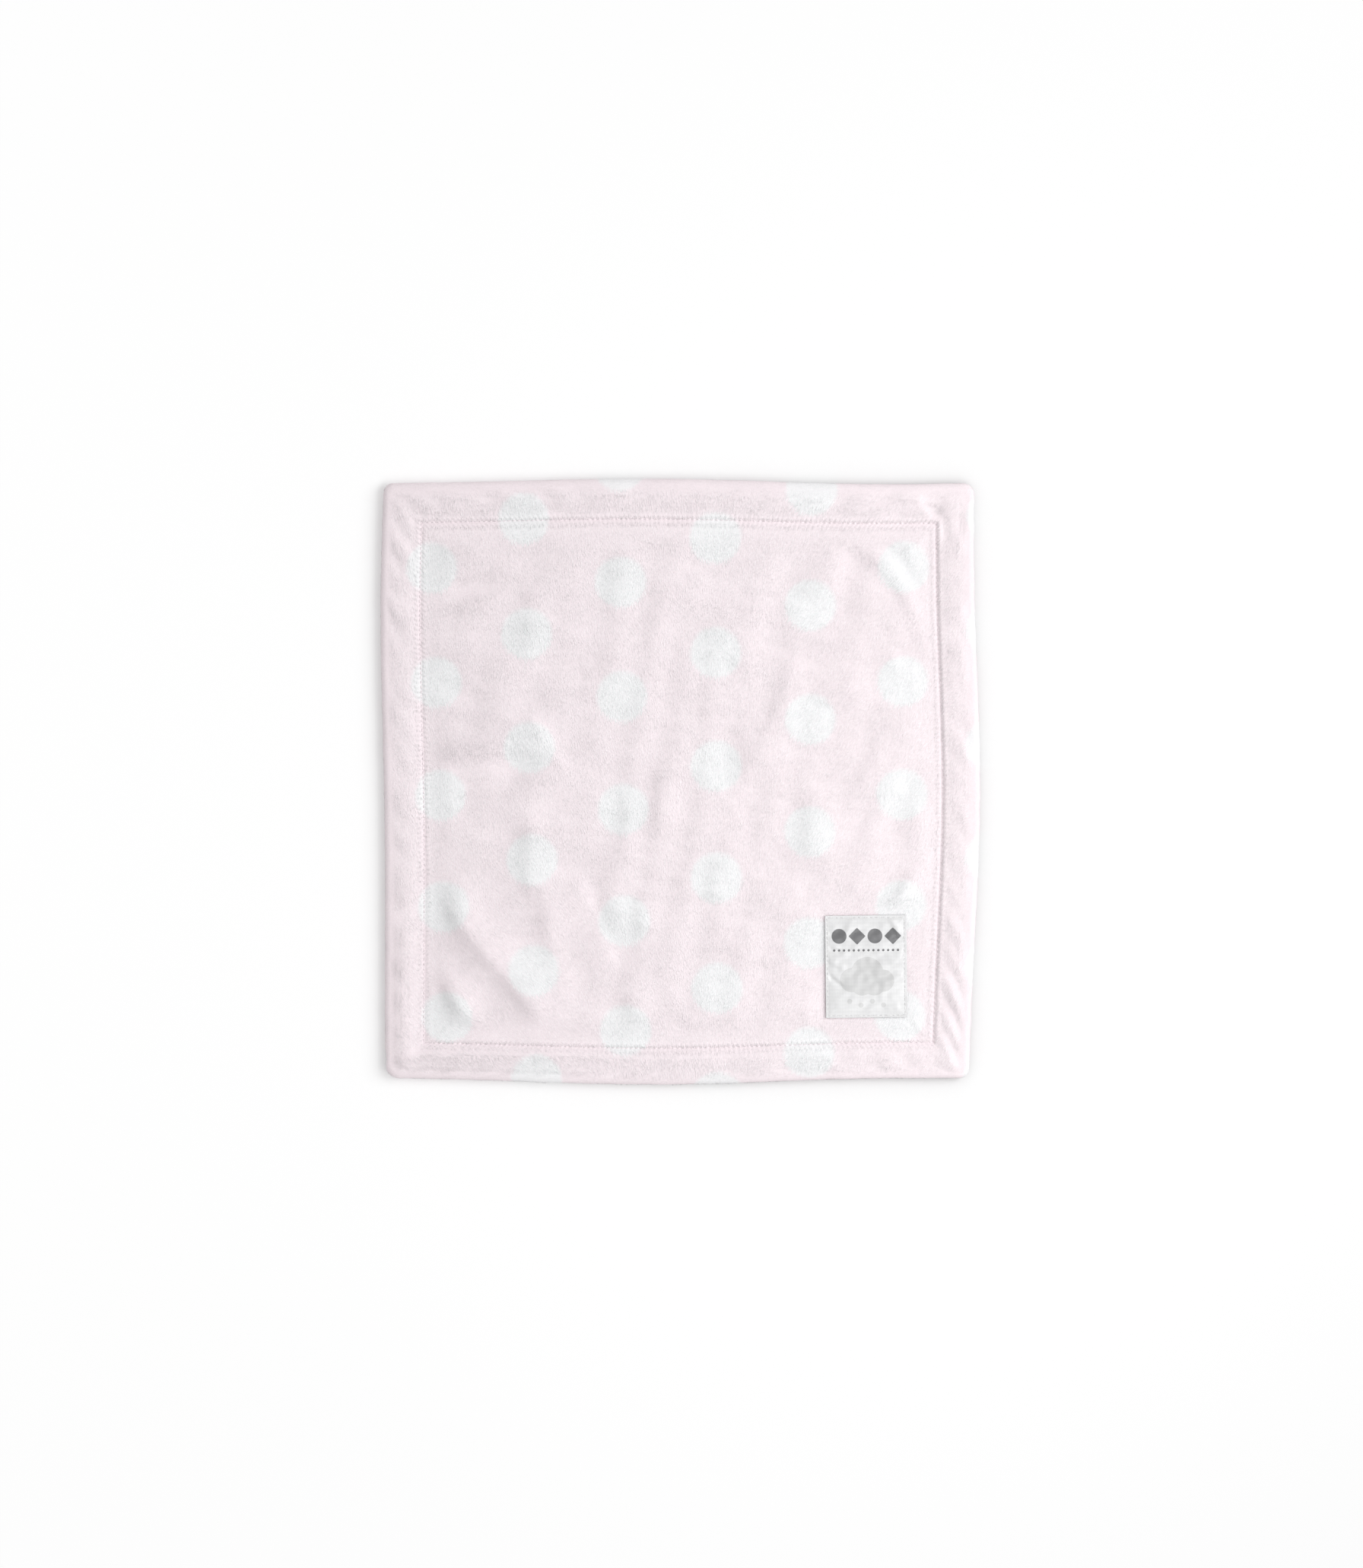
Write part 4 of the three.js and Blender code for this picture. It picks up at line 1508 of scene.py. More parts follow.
    def regions(self, mesh: Mesh, x: Array, y: Array, reach: Array, grown: Array) -> Array:
        """Numbers the faces by the piece of pile that grows on them.

        Args:
            mesh: The sheet's mesh.
            x: Places across the cloth.
            y: Places up the cloth.
            reach: Distances outside the stitch line.
            grown: Whether each point bears pile.

        Returns:
            For each face 0 to 3 for the quarters of the field, 4 or 5 for the border's
            upper right and lower left, and -1 where no pile grows.
        """
        loops = read_values(mesh.loops, "vertex_index", kind=np.int32)
        starts = read_values(mesh.polygons, "loop_start", kind=np.int32)
        corners = loops[starts[:, None] + np.arange(3)]
        middle_x, middle_y = x[corners].mean(axis=1), y[corners].mean(axis=1)
        quarter = (middle_x > 0).astype(int) + 2 * (middle_y > 0)
        border = 4 + (middle_x + middle_y > 0)
        region = np.where(reach[corners].mean(axis=1) > 0, border, quarter)
        return np.where(grown[corners].all(axis=1), region, -1).astype(np.int32)


@dataclass(frozen=True)
class FrontSheet(PlushSheet):
    """The upper sheet: a folded field, a stitched channel, a soft border, a turned rim."""

    relief: FrontRelief = field(kw_only=True)
    dense_reaches: tuple[float, ...] = (-2.9, -2.0, -1.2, -0.5, 0.1, 0.7, 1.4, 2.3, 3.3)
    border_reaches: tuple[float, ...] = (4.6, 6.1, 7.8, 9.8, 12.0, 14.2, 16.5, 18.8)
    label_margin: float = 3.0
    channel_share: float = 0.4

    def build(self) -> Piece:
        """Makes the sheet's piece."""
        sizes, relief, lay = self.sizes, self.relief, self.lay
        per_side = lay.stitches_per_side
        dense = lay.stations(4 * per_side)
        fine, coarse = lay.stations(2 * per_side), lay.stations(per_side)
        shell = Shell()
        x, y = self.grid(2 * per_side)
        field_top = relief.field(x, y)
        base = field_top - sizes.pile_depth
        edge = shell.patch(self.grid_points(x, y, base, True))
        fine_edge = grid_border(field_top)
        places, known = np.arange(len(dense)) / 2, np.arange(len(fine) + 1)
        dense_edge = np.interp(places, known, np.append(fine_edge, fine_edge[0]))
        for reach in self.dense_reaches:
            level = relief.border(dense, reach, np.arange(len(dense)) / 4, dense_edge)
            points = self.loop(dense, reach, level - sizes.pile_depth, True)
            edge = shell.join(edge, points)
        phase = np.arange(len(fine)) / 2
        for reach in self.border_reaches:
            level = relief.border(fine, reach, phase, fine_edge)
            edge = shell.join(edge, self.loop(fine, reach, level - sizes.pile_depth, True))
        shoulder = relief.border(fine, sizes.fold_reach, phase, fine_edge)
        wave = relief.edge_waves.at(*lay.lie(*lay.place(fine, sizes.border)))
        edge = self.roll(shell, edge, fine, shoulder, wave)
        edge = self.turned_in(shell, edge, coarse)
        lowest = self.lowest_near(base)[::2, ::2] - (sizes.cloth - sizes.pile_depth)
        under = np.maximum(lowest, sizes.cloth + sizes.clearance)
        inner = self.grid_points(x[::2, ::2], y[::2, ::2], under)
        shell.bridge(edge, shell.patch(inner, True))
        mesh = shell.mesh("front_plush_sheet")
        bare = relief.seat.covered(*shell.gathered("cloth").T, self.label_margin)
        self.dress(mesh, shell, bare.astype(float))
        return new_piece("front_plush_sheet", mesh)

    def roll_level(self, shoulder: Array, turn: float) -> Array:
        """Gives the rim's heights where it has rolled by a turn from its shoulder."""
        sizes, left = self.sizes, math.cos(turn)
        drop = shoulder - sizes.seam_level
        level = sizes.seam_level + drop * left - sizes.pile_depth * left
        return np.maximum(level, sizes.seam_level + sizes.clearance / 2)

    @property
    def inner_steps(self) -> list[Pair]:
        """Reaches and levels of the turned-in cloth, from the seam to the channel."""
        sizes = self.sizes
        under = sizes.seam_level + sizes.clearance / 2
        top = under + sizes.cloth
        return [
            (sizes.allowance_reach, under),
            (sizes.allowance_reach, top),
            (sizes.fold_reach, top),
            (sizes.fold_reach + sizes.seam_room / 2, top + sizes.seam_room / 2),
            (sizes.fold_reach, sizes.rim_height - sizes.cloth),
            (sizes.crown_reach, top + sizes.clearance),
            (sizes.channel_reach, blend(sizes.front_channel_under, top, self.channel_share)),
            (0.0, sizes.front_channel_under),
        ]

    @staticmethod
    def lowest_near(heights: Array, reach: int = 2) -> Array:
        """Gives the lowest height around each point of a grid, so many cells away."""
        padded = np.pad(heights, reach, mode="edge")
        rows, columns = heights.shape
        steps = range(2 * reach + 1)
        near = [padded[down : down + rows, on : on + columns] for down in steps for on in steps]
        return np.min(near, axis=0)


@dataclass(frozen=True)
class BackSheet(PlushSheet):
    """The lower sheet, the same turned rim the other way up, flat where it lies."""

    channel_reaches: tuple[float, ...] = (-2.6, -1.3, 0.0, 1.3, 2.6)
    border_reaches: tuple[float, ...] = (4.2, 7.5, 11.2, 15.0, 18.8)
    press: Ripples = Ripples(14.0, 0.12, 31)
    field_lift: float = 0.15
    border_lift: float = 0.1
    channel_rise: float = 0.8

    def build(self) -> Piece:
        """Makes the sheet's piece."""
        sizes, lay = self.sizes, self.lay
        stations = lay.stations(lay.stitches_per_side)
        shell = Shell(faces_down=True)
        x, y = self.grid(lay.stitches_per_side)
        flat = sizes.pile_depth + self.field_lift
        edge = shell.patch(self.grid_points(x, y, flat + self.press.at(x, y), True))
        for reach in self.channel_reaches:
            share = 1 - smooth_step(abs(reach) / sizes.channel_reach)
            level = flat + self.channel_rise * share
            edge = shell.join(edge, self.loop(stations, reach, level, True))
        for reach in self.border_reaches:
            level = sizes.pile_depth + self.border_lift
            edge = shell.join(edge, self.loop(stations, reach, level, True))
        edge = self.roll(shell, edge, stations, sizes.pile_depth)
        edge = self.turned_in(shell, edge, stations)
        shell.bridge(edge, shell.patch(self.grid_points(x, y, sizes.cloth), True))
        mesh = shell.mesh("back_plush_sheet")
        self.dress(mesh, shell, np.zeros(shell.count))
        return new_piece("back_plush_sheet", mesh)

    def roll_level(self, shoulder: float, turn: float) -> float:
        """Gives the rim's height where it has rolled by a turn from its shoulder."""
        middle = self.sizes.seam_level
        level = middle - (middle - shoulder) * math.cos(turn)
        return min(level, middle - self.sizes.clearance / 2)

    @property
    def inner_steps(self) -> list[Pair]:
        """Reaches and levels of the turned-in cloth, from the seam to the channel."""
        sizes = self.sizes
        top = sizes.seam_level - sizes.clearance / 2
        under = top - sizes.cloth
        return [
            (sizes.allowance_reach, top),
            (sizes.allowance_reach, under),
            (sizes.fold_reach, under),
            (sizes.fold_reach + sizes.seam_room / 2, under - sizes.seam_room / 2),
            (sizes.fold_reach, sizes.cloth),
            (sizes.channel_reach, sizes.cloth),
            (0.0, sizes.channel_lift + sizes.sewn),
        ]


@dataclass(frozen=True)
class PileGrower:
    """Grows tufts of pile on a sheet: tapered, bent tufts that lie along the nap."""

    finish: Material
    tuft_length: float = 3.0
    tuft_width: float = 0.42
    tuft_rise: float = 0.12
    bend_place_share: float = 0.42
    bend_rise_share: float = 0.72
    ridge_share: float = 0.12
    root_depth: float = 0.12
    # Where along the tuft each point lies, 0 at the root, towards which the finish paints shade.
    tips: tuple[float, ...] = (0.0, 0.0, 0.0, 0.6, 0.6, 0.75, 1.0)
    sheet_share: float = 0.9
    crowding: float = 2.2
    tuft_sizes: Pair = (0.75, 1.2)
    tuft_tones: Pair = (0.978, 1.022)
    pressed_level: float = 0.35
    turn_spread: float = math.radians(14)
    lean_spread: float = math.radians(1.5)

    def tuft(self) -> Piece:
        """Makes one tuft, rooted at the origin and bent towards +X."""
        length, width, rise = self.tuft_length, self.tuft_width, self.tuft_rise
        bend = (self.bend_place_share * length, self.bend_rise_share * rise)
        points = []
        for along, height in ((0.0, -self.root_depth), bend):
            for side, lift in ((-1, 0), (1, 0), (0, self.ridge_share)):
                points.append((along, side * width / 2, height + lift * width))
        points = np.array([*points, (length, 0.0, rise)])
        quads = np.array([[0, 3, 4, 1], [1, 4, 5, 2], [2, 5, 3, 0]])[:, ::-1]
        triangles = np.array([[3, 6, 4], [4, 6, 5], [5, 6, 3], [0, 1, 2]])[:, ::-1]
        mesh = mesh_of("pile_tuft", points * MM, quads, triangles)
        set_values(mesh, "tip", np.array(self.tips))
        tuft = bpy.data.objects.new("pile_tuft", mesh)
        tuft.hide_render = True
        return tuft

    def recipe(self) -> Recipe:
        """Builds the tree that plants tufts on one region of a sheet."""
        numbers = ("Spacing", "Density", "Smallest", "Largest", "Darkest", "Palest")
        inputs = {"Tuft": "Object", "Region": "Int", "Seed": "Int", "Turn": "Vector"}
        inputs |= {label: "Float" for label in numbers} | {"Finish": "Material"}
        recipe = Recipe("grow_pile", inputs)
        graph, given = recipe.graph, recipe.inputs
        region = {2: recipe.named("pile_region", "INT"), 3: given["Region"]}
        chosen = graph.add("FunctionNodeCompare", region, data_type="INT", operation="EQUAL")
        planted = graph.add(
            "GeometryNodeDistributePointsOnFaces",
            {
                "Mesh": given["Geometry"],
                "Selection": chosen.outputs[0],
                "Distance Min": given["Spacing"],
                "Density Max": given["Density"],
                "Density Factor": recipe.named("pile_cover"),
                "Seed": given["Seed"],
            },
            distribute_method="POISSON",
        ).outputs
        normal = planted["Normal"]
        points = recipe.store(planted["Points"], "sheet_normal", normal, "FLOAT_VECTOR")
        tone = recipe.draw(given["Darkest"], given["Palest"])
        points = recipe.store(points, "tuft_tone", tone)
        lying = recipe.facing("ZX", normal, recipe.named("nap", "FLOAT_VECTOR"))
        back = {0: given["Turn"], "Scale": -1.0}
        least = graph.add("ShaderNodeVectorMath", back, operation="SCALE").outputs[0]
        turn = recipe.draw(least, given["Turn"], "FLOAT_VECTOR")
        turn = graph.add("FunctionNodeEulerToRotation", {0: turn}).outputs[0]
        turns = {0: lying, 1: turn}
        turned = graph.add("FunctionNodeRotateRotation", turns, rotation_space="LOCAL")
        size = recipe.draw(given["Smallest"], given["Largest"])
        size = graph.math("MULTIPLY", size, recipe.named("pile_length"))
        recipe.finish(points, "Tuft", turned.outputs[0], Scale=size)
        return recipe

    def press(self, mesh: Mesh) -> None:
        """Presses the pile that would reach below the floor flat against it."""
        places = read_values(mesh.vertices, "co", 3)
        heights = places[:, 2]
        level = self.pressed_level * MM
        low = heights < level
        heights[low] = level * np.exp((heights[low] - level) / level)
        mesh.vertices.foreach_set("co", places.ravel())
        mesh.update()

    def soften(self, mesh: Mesh) -> None:
        """Turns the tufts' normals towards the sheet's, so that they shade as one pile."""
        own = read_values(mesh.vertex_normals, "vector", 3)
        sheet = read_values(mesh.attributes["sheet_normal"].data, "vector", 3)
        mixed = blend(own, sheet, self.sheet_share)
        mixed /= np.linalg.norm(mixed, axis=1)[:, None]
        mesh.normals_split_custom_set_from_vertices(mixed)

    def grow(
        self, sheet: Piece, names: dict[str, int], spacing: float, seed: int
    ) -> list[Piece]:
        """Grows the pile of one sheet.

        Args:
            sheet: The sheet's piece.
            names: The name and the region of each piece of pile.
            spacing: The least distance between two tufts.
            seed: The seed of the sheet's random numbers.

        Returns:
            The pieces of pile.
        """
        recipe, tuft = self.recipe(), self.tuft()
        pieces = []
        for name, region in names.items():
            values = {
                "Tuft": tuft,
                "Region": region,
                "Spacing": spacing * MM,
                "Density": self.crowding / (spacing * MM) ** 2,
                "Turn": (self.lean_spread, self.lean_spread, self.turn_spread),
                "Smallest": self.tuft_sizes[0],
                "Largest": self.tuft_sizes[1],
                "Darkest": self.tuft_tones[0],
                "Palest": self.tuft_tones[1],
                "Seed": seed + region,
                "Finish": self.finish,
            }
            piece = recipe.make(sheet.data, name, values)
            self.soften(piece.data)
            self.press(piece.data)
            for spare in ("nap", "pile_cover", "pile_length", "pile_region", "sheet_normal"):
                attribute = piece.data.attributes.get(spare)
                if attribute is not None:
                    piece.data.attributes.remove(attribute)
            planar_map(piece.data)
            pieces.append(register(piece))
        return pieces


@dataclass(frozen=True)
class StitchRow:
    """A closed row of machine stitches, one thread of it, set out along a path."""

    finish: Material
    diameter: float
    length: float
    rise: float
    side_count: int = 6
    ring_count: int = 7
    end_taper: float = 0.35
    end_dive: float = 2.2

    def stitch(self) -> Piece:
        """Makes one stitch: an arch of thread whose ends dive into the cloth."""
        angles = 2 * np.pi * np.arange(self.side_count) / self.side_count
        rings = []
        for share in np.linspace(-1, 1, self.ring_count):
            radius = self.diameter / 2 * (1 - self.end_taper * share**4)
            height = self.rise * (1 - self.end_dive * share**4)
            along = np.full(self.side_count, share * self.length / 2)
            ring = [along, radius * np.cos(angles), height + radius * np.sin(angles)]
            rings.append(np.stack(ring, axis=1))
        points = np.concatenate(rings)
        ids = np.arange(len(points)).reshape(self.ring_count, self.side_count)
        beside = np.roll(ids, -1, axis=1)
        quads = np.stack([ids[:-1], beside[:-1], beside[1:], ids[1:]], axis=-1).reshape(-1, 4)
        fans = []
        for ring, order in ((ids[0], -1), (ids[-1], 1)):
            for corner in range(1, self.side_count - 1):
                fan = [ring[0], ring[corner], ring[corner + 1]]
                fans.append(fan[::order])
        mesh = mesh_of("stitch", points * MM, quads, np.array(fans))
        return bpy.data.objects.new("stitch", mesh)

    def recipe(self) -> Recipe:
        """Builds the tree that sets a stitch on each point of a path."""
        recipe = Recipe("set_stitches", {"Stitch": "Object", "Finish": "Material"})
        ahead, upwards = (recipe.named(name, "FLOAT_VECTOR") for name in ("ahead", "upwards"))
        recipe.finish(recipe.inputs["Geometry"], "Stitch", recipe.facing("XZ", ahead, upwards))
        return recipe

    def sew(self, name: str, holes: Array, upwards: float = 1.0) -> Piece:
        """Sews a closed row through needle holes.

        Args:
            name: The piece's name.
            holes: Places of the needle holes in order, n by 3.
            upwards: 1 where the row is seen from above, -1 from below.

        Returns:
            The piece.
        """
        after = np.roll(holes, -1, axis=0)
        middles = (holes + after) / 2
        ahead = after - holes
        ahead /= np.linalg.norm(ahead, axis=1)[:, None]
        path = bpy.data.meshes.new(name + "_path")
        path.from_pydata((middles * MM).tolist(), [], [])
        set_values(path, "ahead", ahead)
        set_values(path, "upwards", np.tile([0.0, 0.0, upwards], (len(ahead), 1)))
        values = {"Stitch": self.stitch(), "Finish": self.finish}
        piece = self.recipe().make(path, name, values)
        for spare in ("ahead", "upwards"):
            piece.data.attributes.remove(piece.data.attributes[spare])
        piece.data.shade_smooth()
        return piece


@dataclass(frozen=True)
class Topstitching:
    """The closed square of lockstitch that joins both sheets inside the border."""

    lay: BlanketLay
    sizes: ClothSizes
    finish: Material
    overlap: float = 1.02
    front_swell: float = 1.15
    front_rise: float = 0.8
    back_rise: float = 0.25

    def holes(self, level: float) -> Array:
        """Places the needle holes at a height."""
        shares = self.lay.stations(self.lay.stitches_per_side)
        x, y = self.lay.lie(*self.lay.place(shares, 0.0))
        return np.stack([x, y, np.full_like(x, level)], axis=1)

    def build(self) -> list[Piece]:
        """Makes the upper and the lower row."""
        sizes, thread = self.sizes, self.sizes.topstitch_thread
        length = self.lay.stitch_pitch * self.overlap
        upper = StitchRow(self.finish, thread * self.front_swell, length, self.front_rise)
        front = upper.sew("topstitching_front", self.holes(sizes.front_channel_top))
        register(front, ["topstitch_needle_thread"])
        lower = StitchRow(self.finish, thread, length, self.back_rise)
        level = sizes.channel_lift - sizes.clearance - thread / 2
        back = lower.sew("topstitching_back", self.holes(level), -1.0)
        register(back, ["topstitch_bobbin_thread"])
        return [front, back]


@dataclass(frozen=True)
class SatinLabel:
    """The woven label: a thin closed sheet, pillowed and wrinkled between its stitches."""

    lay: BlanketLay
    sizes: ClothSizes
    seat: LabelSeat
    finish: Material
    thread: Material
    thickness: float = 0.45
    thread_diameter: float = 0.35
    stitch_pitch: float = 2.6
    stitch_inset: float = 1.3
    stitch_rise: float = 0.2
    cells: tuple[int, int] = (96, 122)
    pillow: float = 0.55
    pillow_reach: float = 5.0
    fold_reach: float = 2.0
    drawn_depth: float = 0.18
    drawn_reach: float = 0.7
    folds: tuple[Crease, ...] = (
        Crease((-26.0, -2.0), (-12.0, -14.0), -1.0, 1.8, 1.3),
        Crease((-25.0, 12.0), (-13.0, 8.0), -0.55, 1.5, 1.3),
        Crease((-25.0, 20.0), (-13.0, 18.0), -0.5, 1.6, 1.4),
        Crease((-25.0, 5.0), (-10.0, -2.0), 0.6, 2.0, 2.0),
        Crease((26.0, 10.0), (1.0, -4.0), 1.2, 3.0, 3.6, 1.5),
        Crease((26.0, -4.0), (6.0, -12.0), 0.9, 2.2, 2.6),
        Crease((13.0, 32.0), (21.0, 17.0), 0.8, 1.8, 2.4),
        Crease((26.0, 18.0), (12.0, 13.0), -0.5, 1.5, 1.5),
        Crease((-7.0, 32.0), (-13.0, 14.0), 0.6, 2.0, 2.6),
    )
    crinkle: Ripples = Ripples(7.0, 0.14, 41)

    def relief(self, along: Array, up: Array) -> Array:
        """Gives the label's own relief over the level that it is sewn to."""
        from_side = self.seat.width / 2 - self.stitch_inset - np.abs(along)
        from_end = self.seat.height / 2 - self.stitch_inset - np.abs(up)
        inside = np.minimum(from_side, from_end)
        free = smooth_step(inside / self.pillow_reach)
        rise = self.pillow * free + self.crinkle.at(along, up) * free
        for fold in self.folds:
            rise = rise + fold.at(along, up) * smooth_step(inside / self.fold_reach)
        return rise - self.drawn_depth * np.exp(-((inside / self.drawn_reach) ** 2))

    def build(self) -> list[Piece]:
        """Makes the label and its stitching."""
        width, height = self.seat.width, self.seat.height
        columns, rows = (np.linspace(-0.5, 0.5, count + 1) for count in self.cells)
        along, up = np.meshgrid(columns * width, rows * height, indexing="ij")
        level = self.sizes.front_field_top + self.seat.lift + self.sizes.clearance
        relief = self.relief(along, up)
        laid_x, laid_y = self.seat.laid(along, up)
        cloth, reach = np.stack([along, up], axis=-1), np.zeros(along.shape)
        shell, borders = Shell(), []
        for base, turned in ((level + self.thickness, False), (level, True)):
            place = np.stack([laid_x, laid_y, base + relief], axis=-1)
            borders.append(shell.patch(Points(place, cloth, reach, False), turned))
        shell.bridge(*borders)
        mesh = shell.mesh("satin_label_cloth")
        places = shell.gathered("cloth")
        design = LabelDesign(self.seat.width, self.seat.height)
        set_values(mesh, "motif_reach", design.motif(places[:, 0], places[:, 1]))
        set_values(mesh, "row_reach", design.row(places[:, 0], places[:, 1]))
        mesh.materials.append(self.finish)
        label = register(new_piece("satin_label_cloth", mesh), ["satin_label"])
        return [label, self.stitching(level + self.thickness)]

    def stitching(self, level: float) -> Piece:
        """Sews the label down round its edge."""
        across = self.seat.width / 2 - self.stitch_inset
        up = self.seat.height / 2 - self.stitch_inset
        corners = [(-across, -up), (across, -up), (across, up), (-across, up)]
        holes = []
        for start, end in zip(corners, corners[1:] + corners[:1]):
            count = round(math.dist(start, end) / self.stitch_pitch)
            for share in np.arange(count) / count:
                holes.append(blend(np.array(start), np.array(end), share))
        flat = np.array(holes)
        x, y = self.seat.laid(flat[:, 0], flat[:, 1])
        heights = level + self.relief(flat[:, 0], flat[:, 1])
        diameter, pitch = self.thread_diameter, self.stitch_pitch
        row = StitchRow(self.thread, diameter, pitch, self.stitch_rise)
        piece = row.sew("label_stitching", np.stack([x, y, heights], axis=1))
        return register(piece, ["label_needle_thread"])


@dataclass(frozen=True)
class LabelDesign:
    """A plain woven design: a dark row of shapes and a dotted line over a cloud with drops."""

    width: float
    height: float
    cloud: tuple[tuple[float, float, float], ...] = (
        (-8.5, -8.0, 7.2),
        (0.5, -4.0, 9.6),
        (9.8, -8.4, 6.6),
        (-2.5, -10.8, 6.4),
        (4.6, -11.0, 6.2),
    )
    drops: tuple[Pair, ...] = ((-10.0, -20.5), (-3.4, -22.8), (3.4, -20.5), (10.0, -22.8))
    drop_radius: float = 1.5
    row_level: float = 18.0
    row_count: int = 4
    row_pitch: float = 10.6
    shape_radius: float = 4.4
    lozenge_share: float = 1.15
    line_level: float = 9.6
    line_count: int = 14
    line_pitch: float = 2.9
    line_radius: float = 0.75

    def motif(self, x: Array, y: Array) -> Array:
        """Measures how far places lie inside the tone-on-tone motif."""
        reach = np.full(np.shape(x), -self.width)
        for centre_x, centre_y, radius in self.cloud:
            reach = np.maximum(reach, radius - np.hypot(x - centre_x, y - centre_y))
        for drop_x, drop_y in self.drops:
            reach = np.maximum(reach, self.drop_radius - np.hypot(x - drop_x, y - drop_y))
        return reach

    def row(self, x: Array, y: Array) -> Array:
        """Measures how far places lie inside the dark row and the dotted line."""
        reach = np.full(np.shape(x), -self.width)
        for index in range(self.row_count):
            away_x = np.abs(x - (index - (self.row_count - 1) / 2) * self.row_pitch)
            away_y = np.abs(y - self.row_level)
            if index % 2:
                reach_along = self.lozenge_share * self.shape_radius
                shape = (reach_along - (away_x + away_y)) / math.sqrt(2)
            else:
                shape = self.shape_radius - np.hypot(away_x, away_y)
            reach = np.maximum(reach, shape)
        for index in range(self.line_count):
            dot_x = (index - (self.line_count - 1) / 2) * self.line_pitch
            away = np.hypot(x - dot_x, y - self.line_level)
            reach = np.maximum(reach, self.line_radius - away)
        return reach


@dataclass(frozen=True)
class Studio:
    """The plain white studio: floor, soft light, and a camera straight above."""

    lens: float = 85.0
    sensor: float = 36.0
    framed_height: float = 927.45
    framed_middle: Pair = (0.675, -1.485)
    subject_level: float = 5.0
    floor_size: float = 12000.0
    floor_drop: float = 0.4
    sky_strength: float = 0.61
    clip_end: float = 20.0
    lamps: tuple[Lamp, ...] = (
        Lamp("key_softbox", 9.0, 1.0, 1.4, math.radians(13), math.radians(42)),
        Lamp("fill_softbox", 1.35, 0.5, 0.86, math.radians(-45), math.radians(60)),
    )

    def build(self) -> None:
        """Makes the floor, the lights, the world and the camera."""
        self.floor()
        for lamp in self.lamps:
            lamp.hang()
        self.sky()
        self.camera()
        bpy.context.scene.view_settings.view_transform = "Standard"

    def floor(self) -> None:
        """Lays the white floor."""
        half = self.floor_size / 2
        corners = [(-half, -half), (half, -half), (half, half), (-half, half)]
        points = np.array([(x, y, -self.floor_drop) for x, y in corners]) * MM
        quads = np.array([[0, 1, 2, 3]])
        mesh = mesh_of("studio_floor", points, quads, np.zeros((0, 3), int))
        mesh.materials.append(FloorFinish(self.lamps, self.sky_strength).material())
        new_piece("studio_floor", mesh)

    def sky(self) -> None:
        """Fills the world with even light, and shows it white."""
        world = bpy.data.worlds.new("studio_world")
        bpy.context.scene.world = world
        world.use_nodes = True
        world.node_tree.nodes.clear()
        graph = Graph(world.node_tree)
        seen = seen_directly(graph)
        strength = graph.math("MULTIPLY", seen, 1 - self.sky_strength)
        strength = graph.math("ADD", strength, self.sky_strength)
        light = graph.add("ShaderNodeBackground", {"Color": (1, 1, 1, 1), "Strength": strength})
        output = graph.add("ShaderNodeOutputWorld")
        graph.tree.links.new(light.outputs[0], output.inputs["Surface"])

    def camera(self) -> None:
        """Looks straight down from far enough to frame the photographed view."""
        lens = bpy.data.cameras.new("camera")
        lens.lens = self.lens
        lens.sensor_width = self.sensor
        holder = bpy.data.objects.new("camera", lens)
        bpy.context.scene.collection.objects.link(holder)
        distance = self.lens / self.sensor * self.framed_height
        holder.location = (
            self.framed_middle[0] * MM,
            self.framed_middle[1] * MM,
            (self.subject_level + distance) * MM,
        )
        lens.clip_end = self.clip_end
        bpy.context.scene.camera = holder


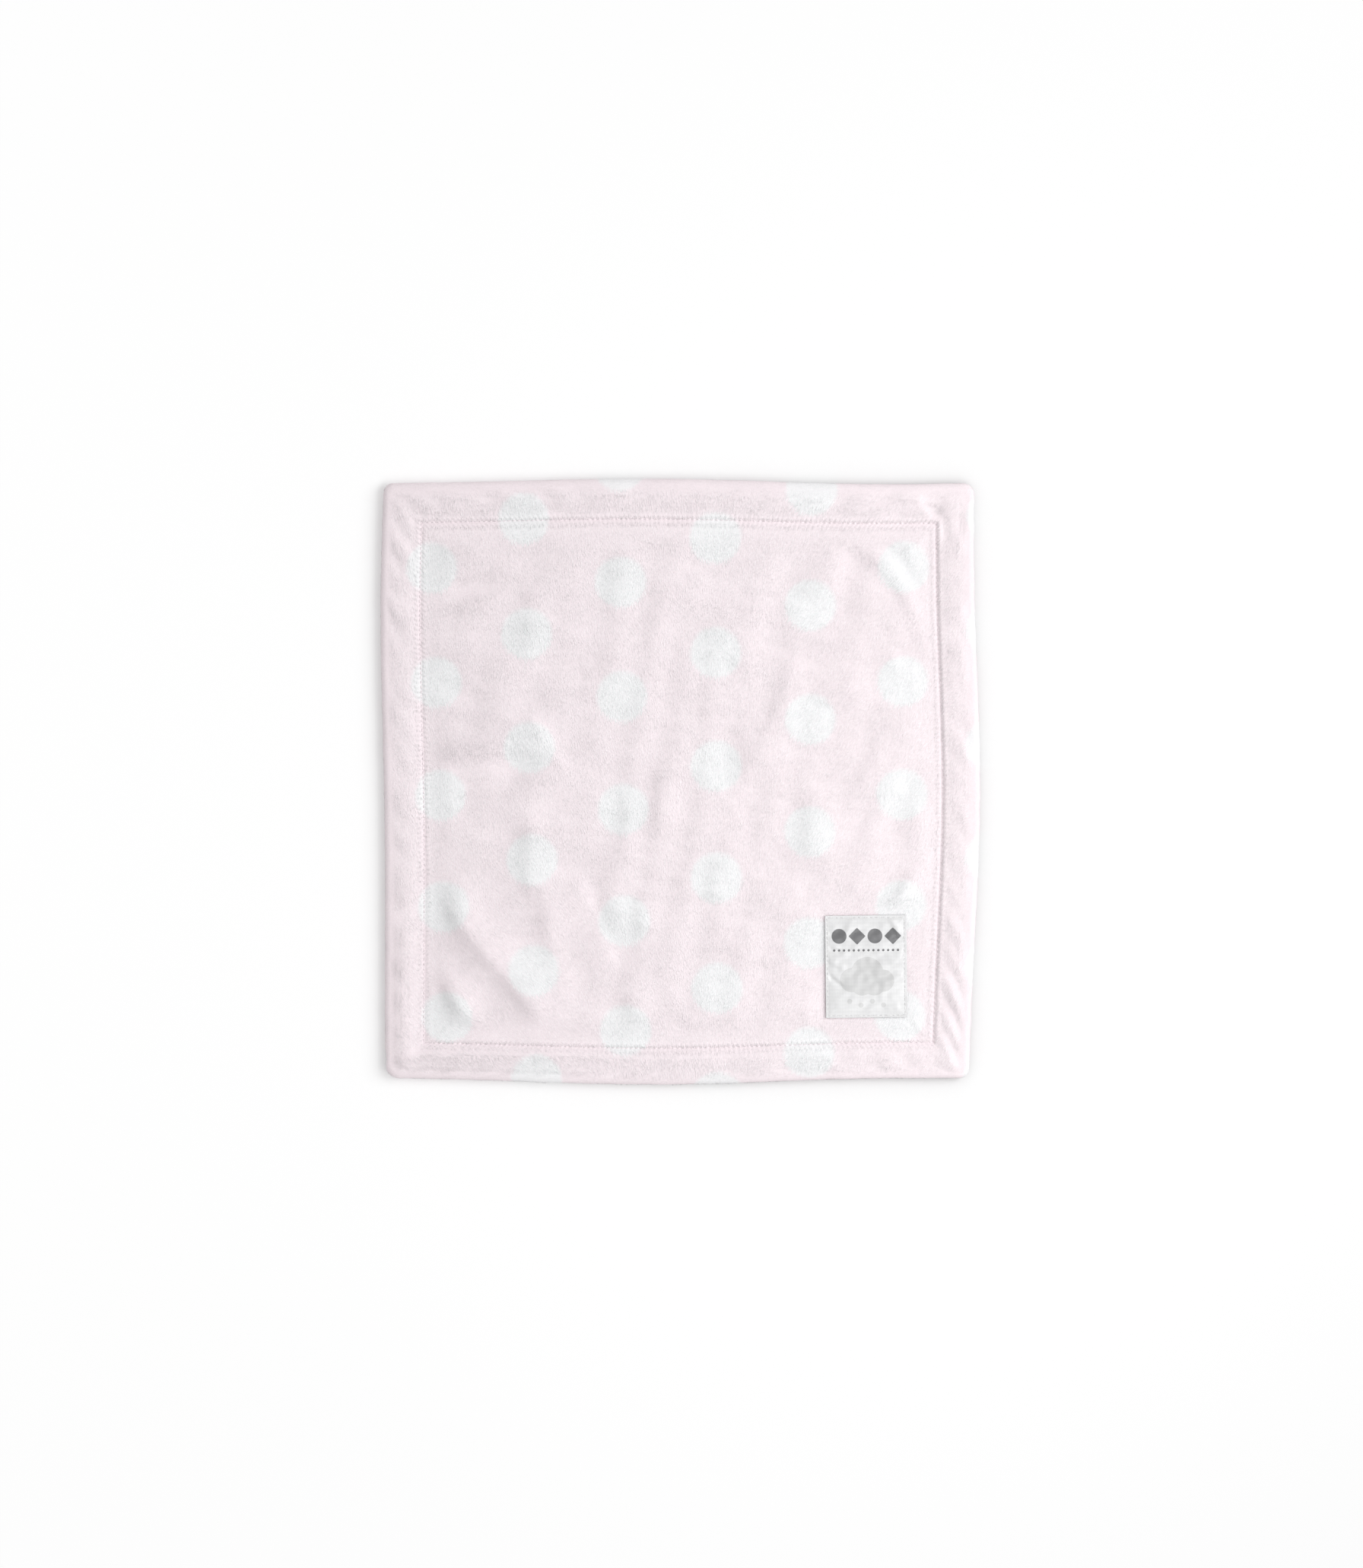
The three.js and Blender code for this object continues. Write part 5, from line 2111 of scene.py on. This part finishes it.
@dataclass(frozen=True)
class HiddenThreads:
    """Threads inside the blanket, which keep their solids and get a real finish."""

    pink: Material
    white: Material

    def dress(self) -> None:
        """Gives each carried-over thread its finish."""
        finishes = {
            "rim_seam_needle_thread": (self.pink, Slot.PINK_THREAD),
            "rim_seam_bobbin_thread": (self.pink, Slot.PINK_THREAD),
            "label_bobbin_thread": (self.white, Slot.WHITE_THREAD),
        }
        for name, (material, slot) in finishes.items():
            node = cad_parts[name]
            node.data.materials.clear()
            node.data.materials.append(material)
            log.info("%s keeps its solid", name)


def build_blanket() -> None:
    """Builds and dresses the whole blanket."""
    lay, sizes = BlanketLay(), ClothSizes()
    seat = LabelSeat(lay)
    plush = PlushFinish().material()
    pink = ThreadFinish("pink_thread", (0.97, 0.88, 0.91, 1.0)).material()
    white = ThreadFinish("white_thread", (0.88, 0.88, 0.88, 1.0)).material()
    satin = SatinFinish().material()
    puckers = Puckers(4 * lay.stitches_per_side * lay.stitch_pitch)
    relief = FrontRelief(lay, sizes, seat, puckers)
    grower = PileGrower(plush)

    front_sheet = FrontSheet(lay, sizes, plush, DotPattern(), Nap(), relief=relief)
    front = register(front_sheet.build(), ["front_sheet"])
    front_names = {
        "front_pile_lower_left": 0,
        "front_pile_lower_right": 1,
        "front_pile_upper_left": 2,
        "front_pile_upper_right": 3,
        "front_pile_border_lower": 4,
        "front_pile_border_upper": 5,
    }
    front_pile = grower.grow(front, front_names, spacing=0.8, seed=100)

    back_sheet = BackSheet(lay, sizes, plush, DotPattern(), Nap())
    back = register(back_sheet.build(), ["back_sheet"])
    back_names = {name.replace("front", "back"): region for name, region in front_names.items()}
    back_pile = grower.grow(back, back_names, spacing=1.5, seed=200)

    topstitching = Topstitching(lay, sizes, pink).build()
    label, label_stitching = SatinLabel(lay, sizes, seat, satin, white).build()
    HiddenThreads(pink, white).dress()


def main() -> None:
    """Sets up the studio and dresses the blanket."""
    logging.basicConfig(level=logging.INFO, format="%(name)s: %(message)s")
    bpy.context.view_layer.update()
    Studio().build()
    build_blanket()


if __name__ == "__main__":
    main()
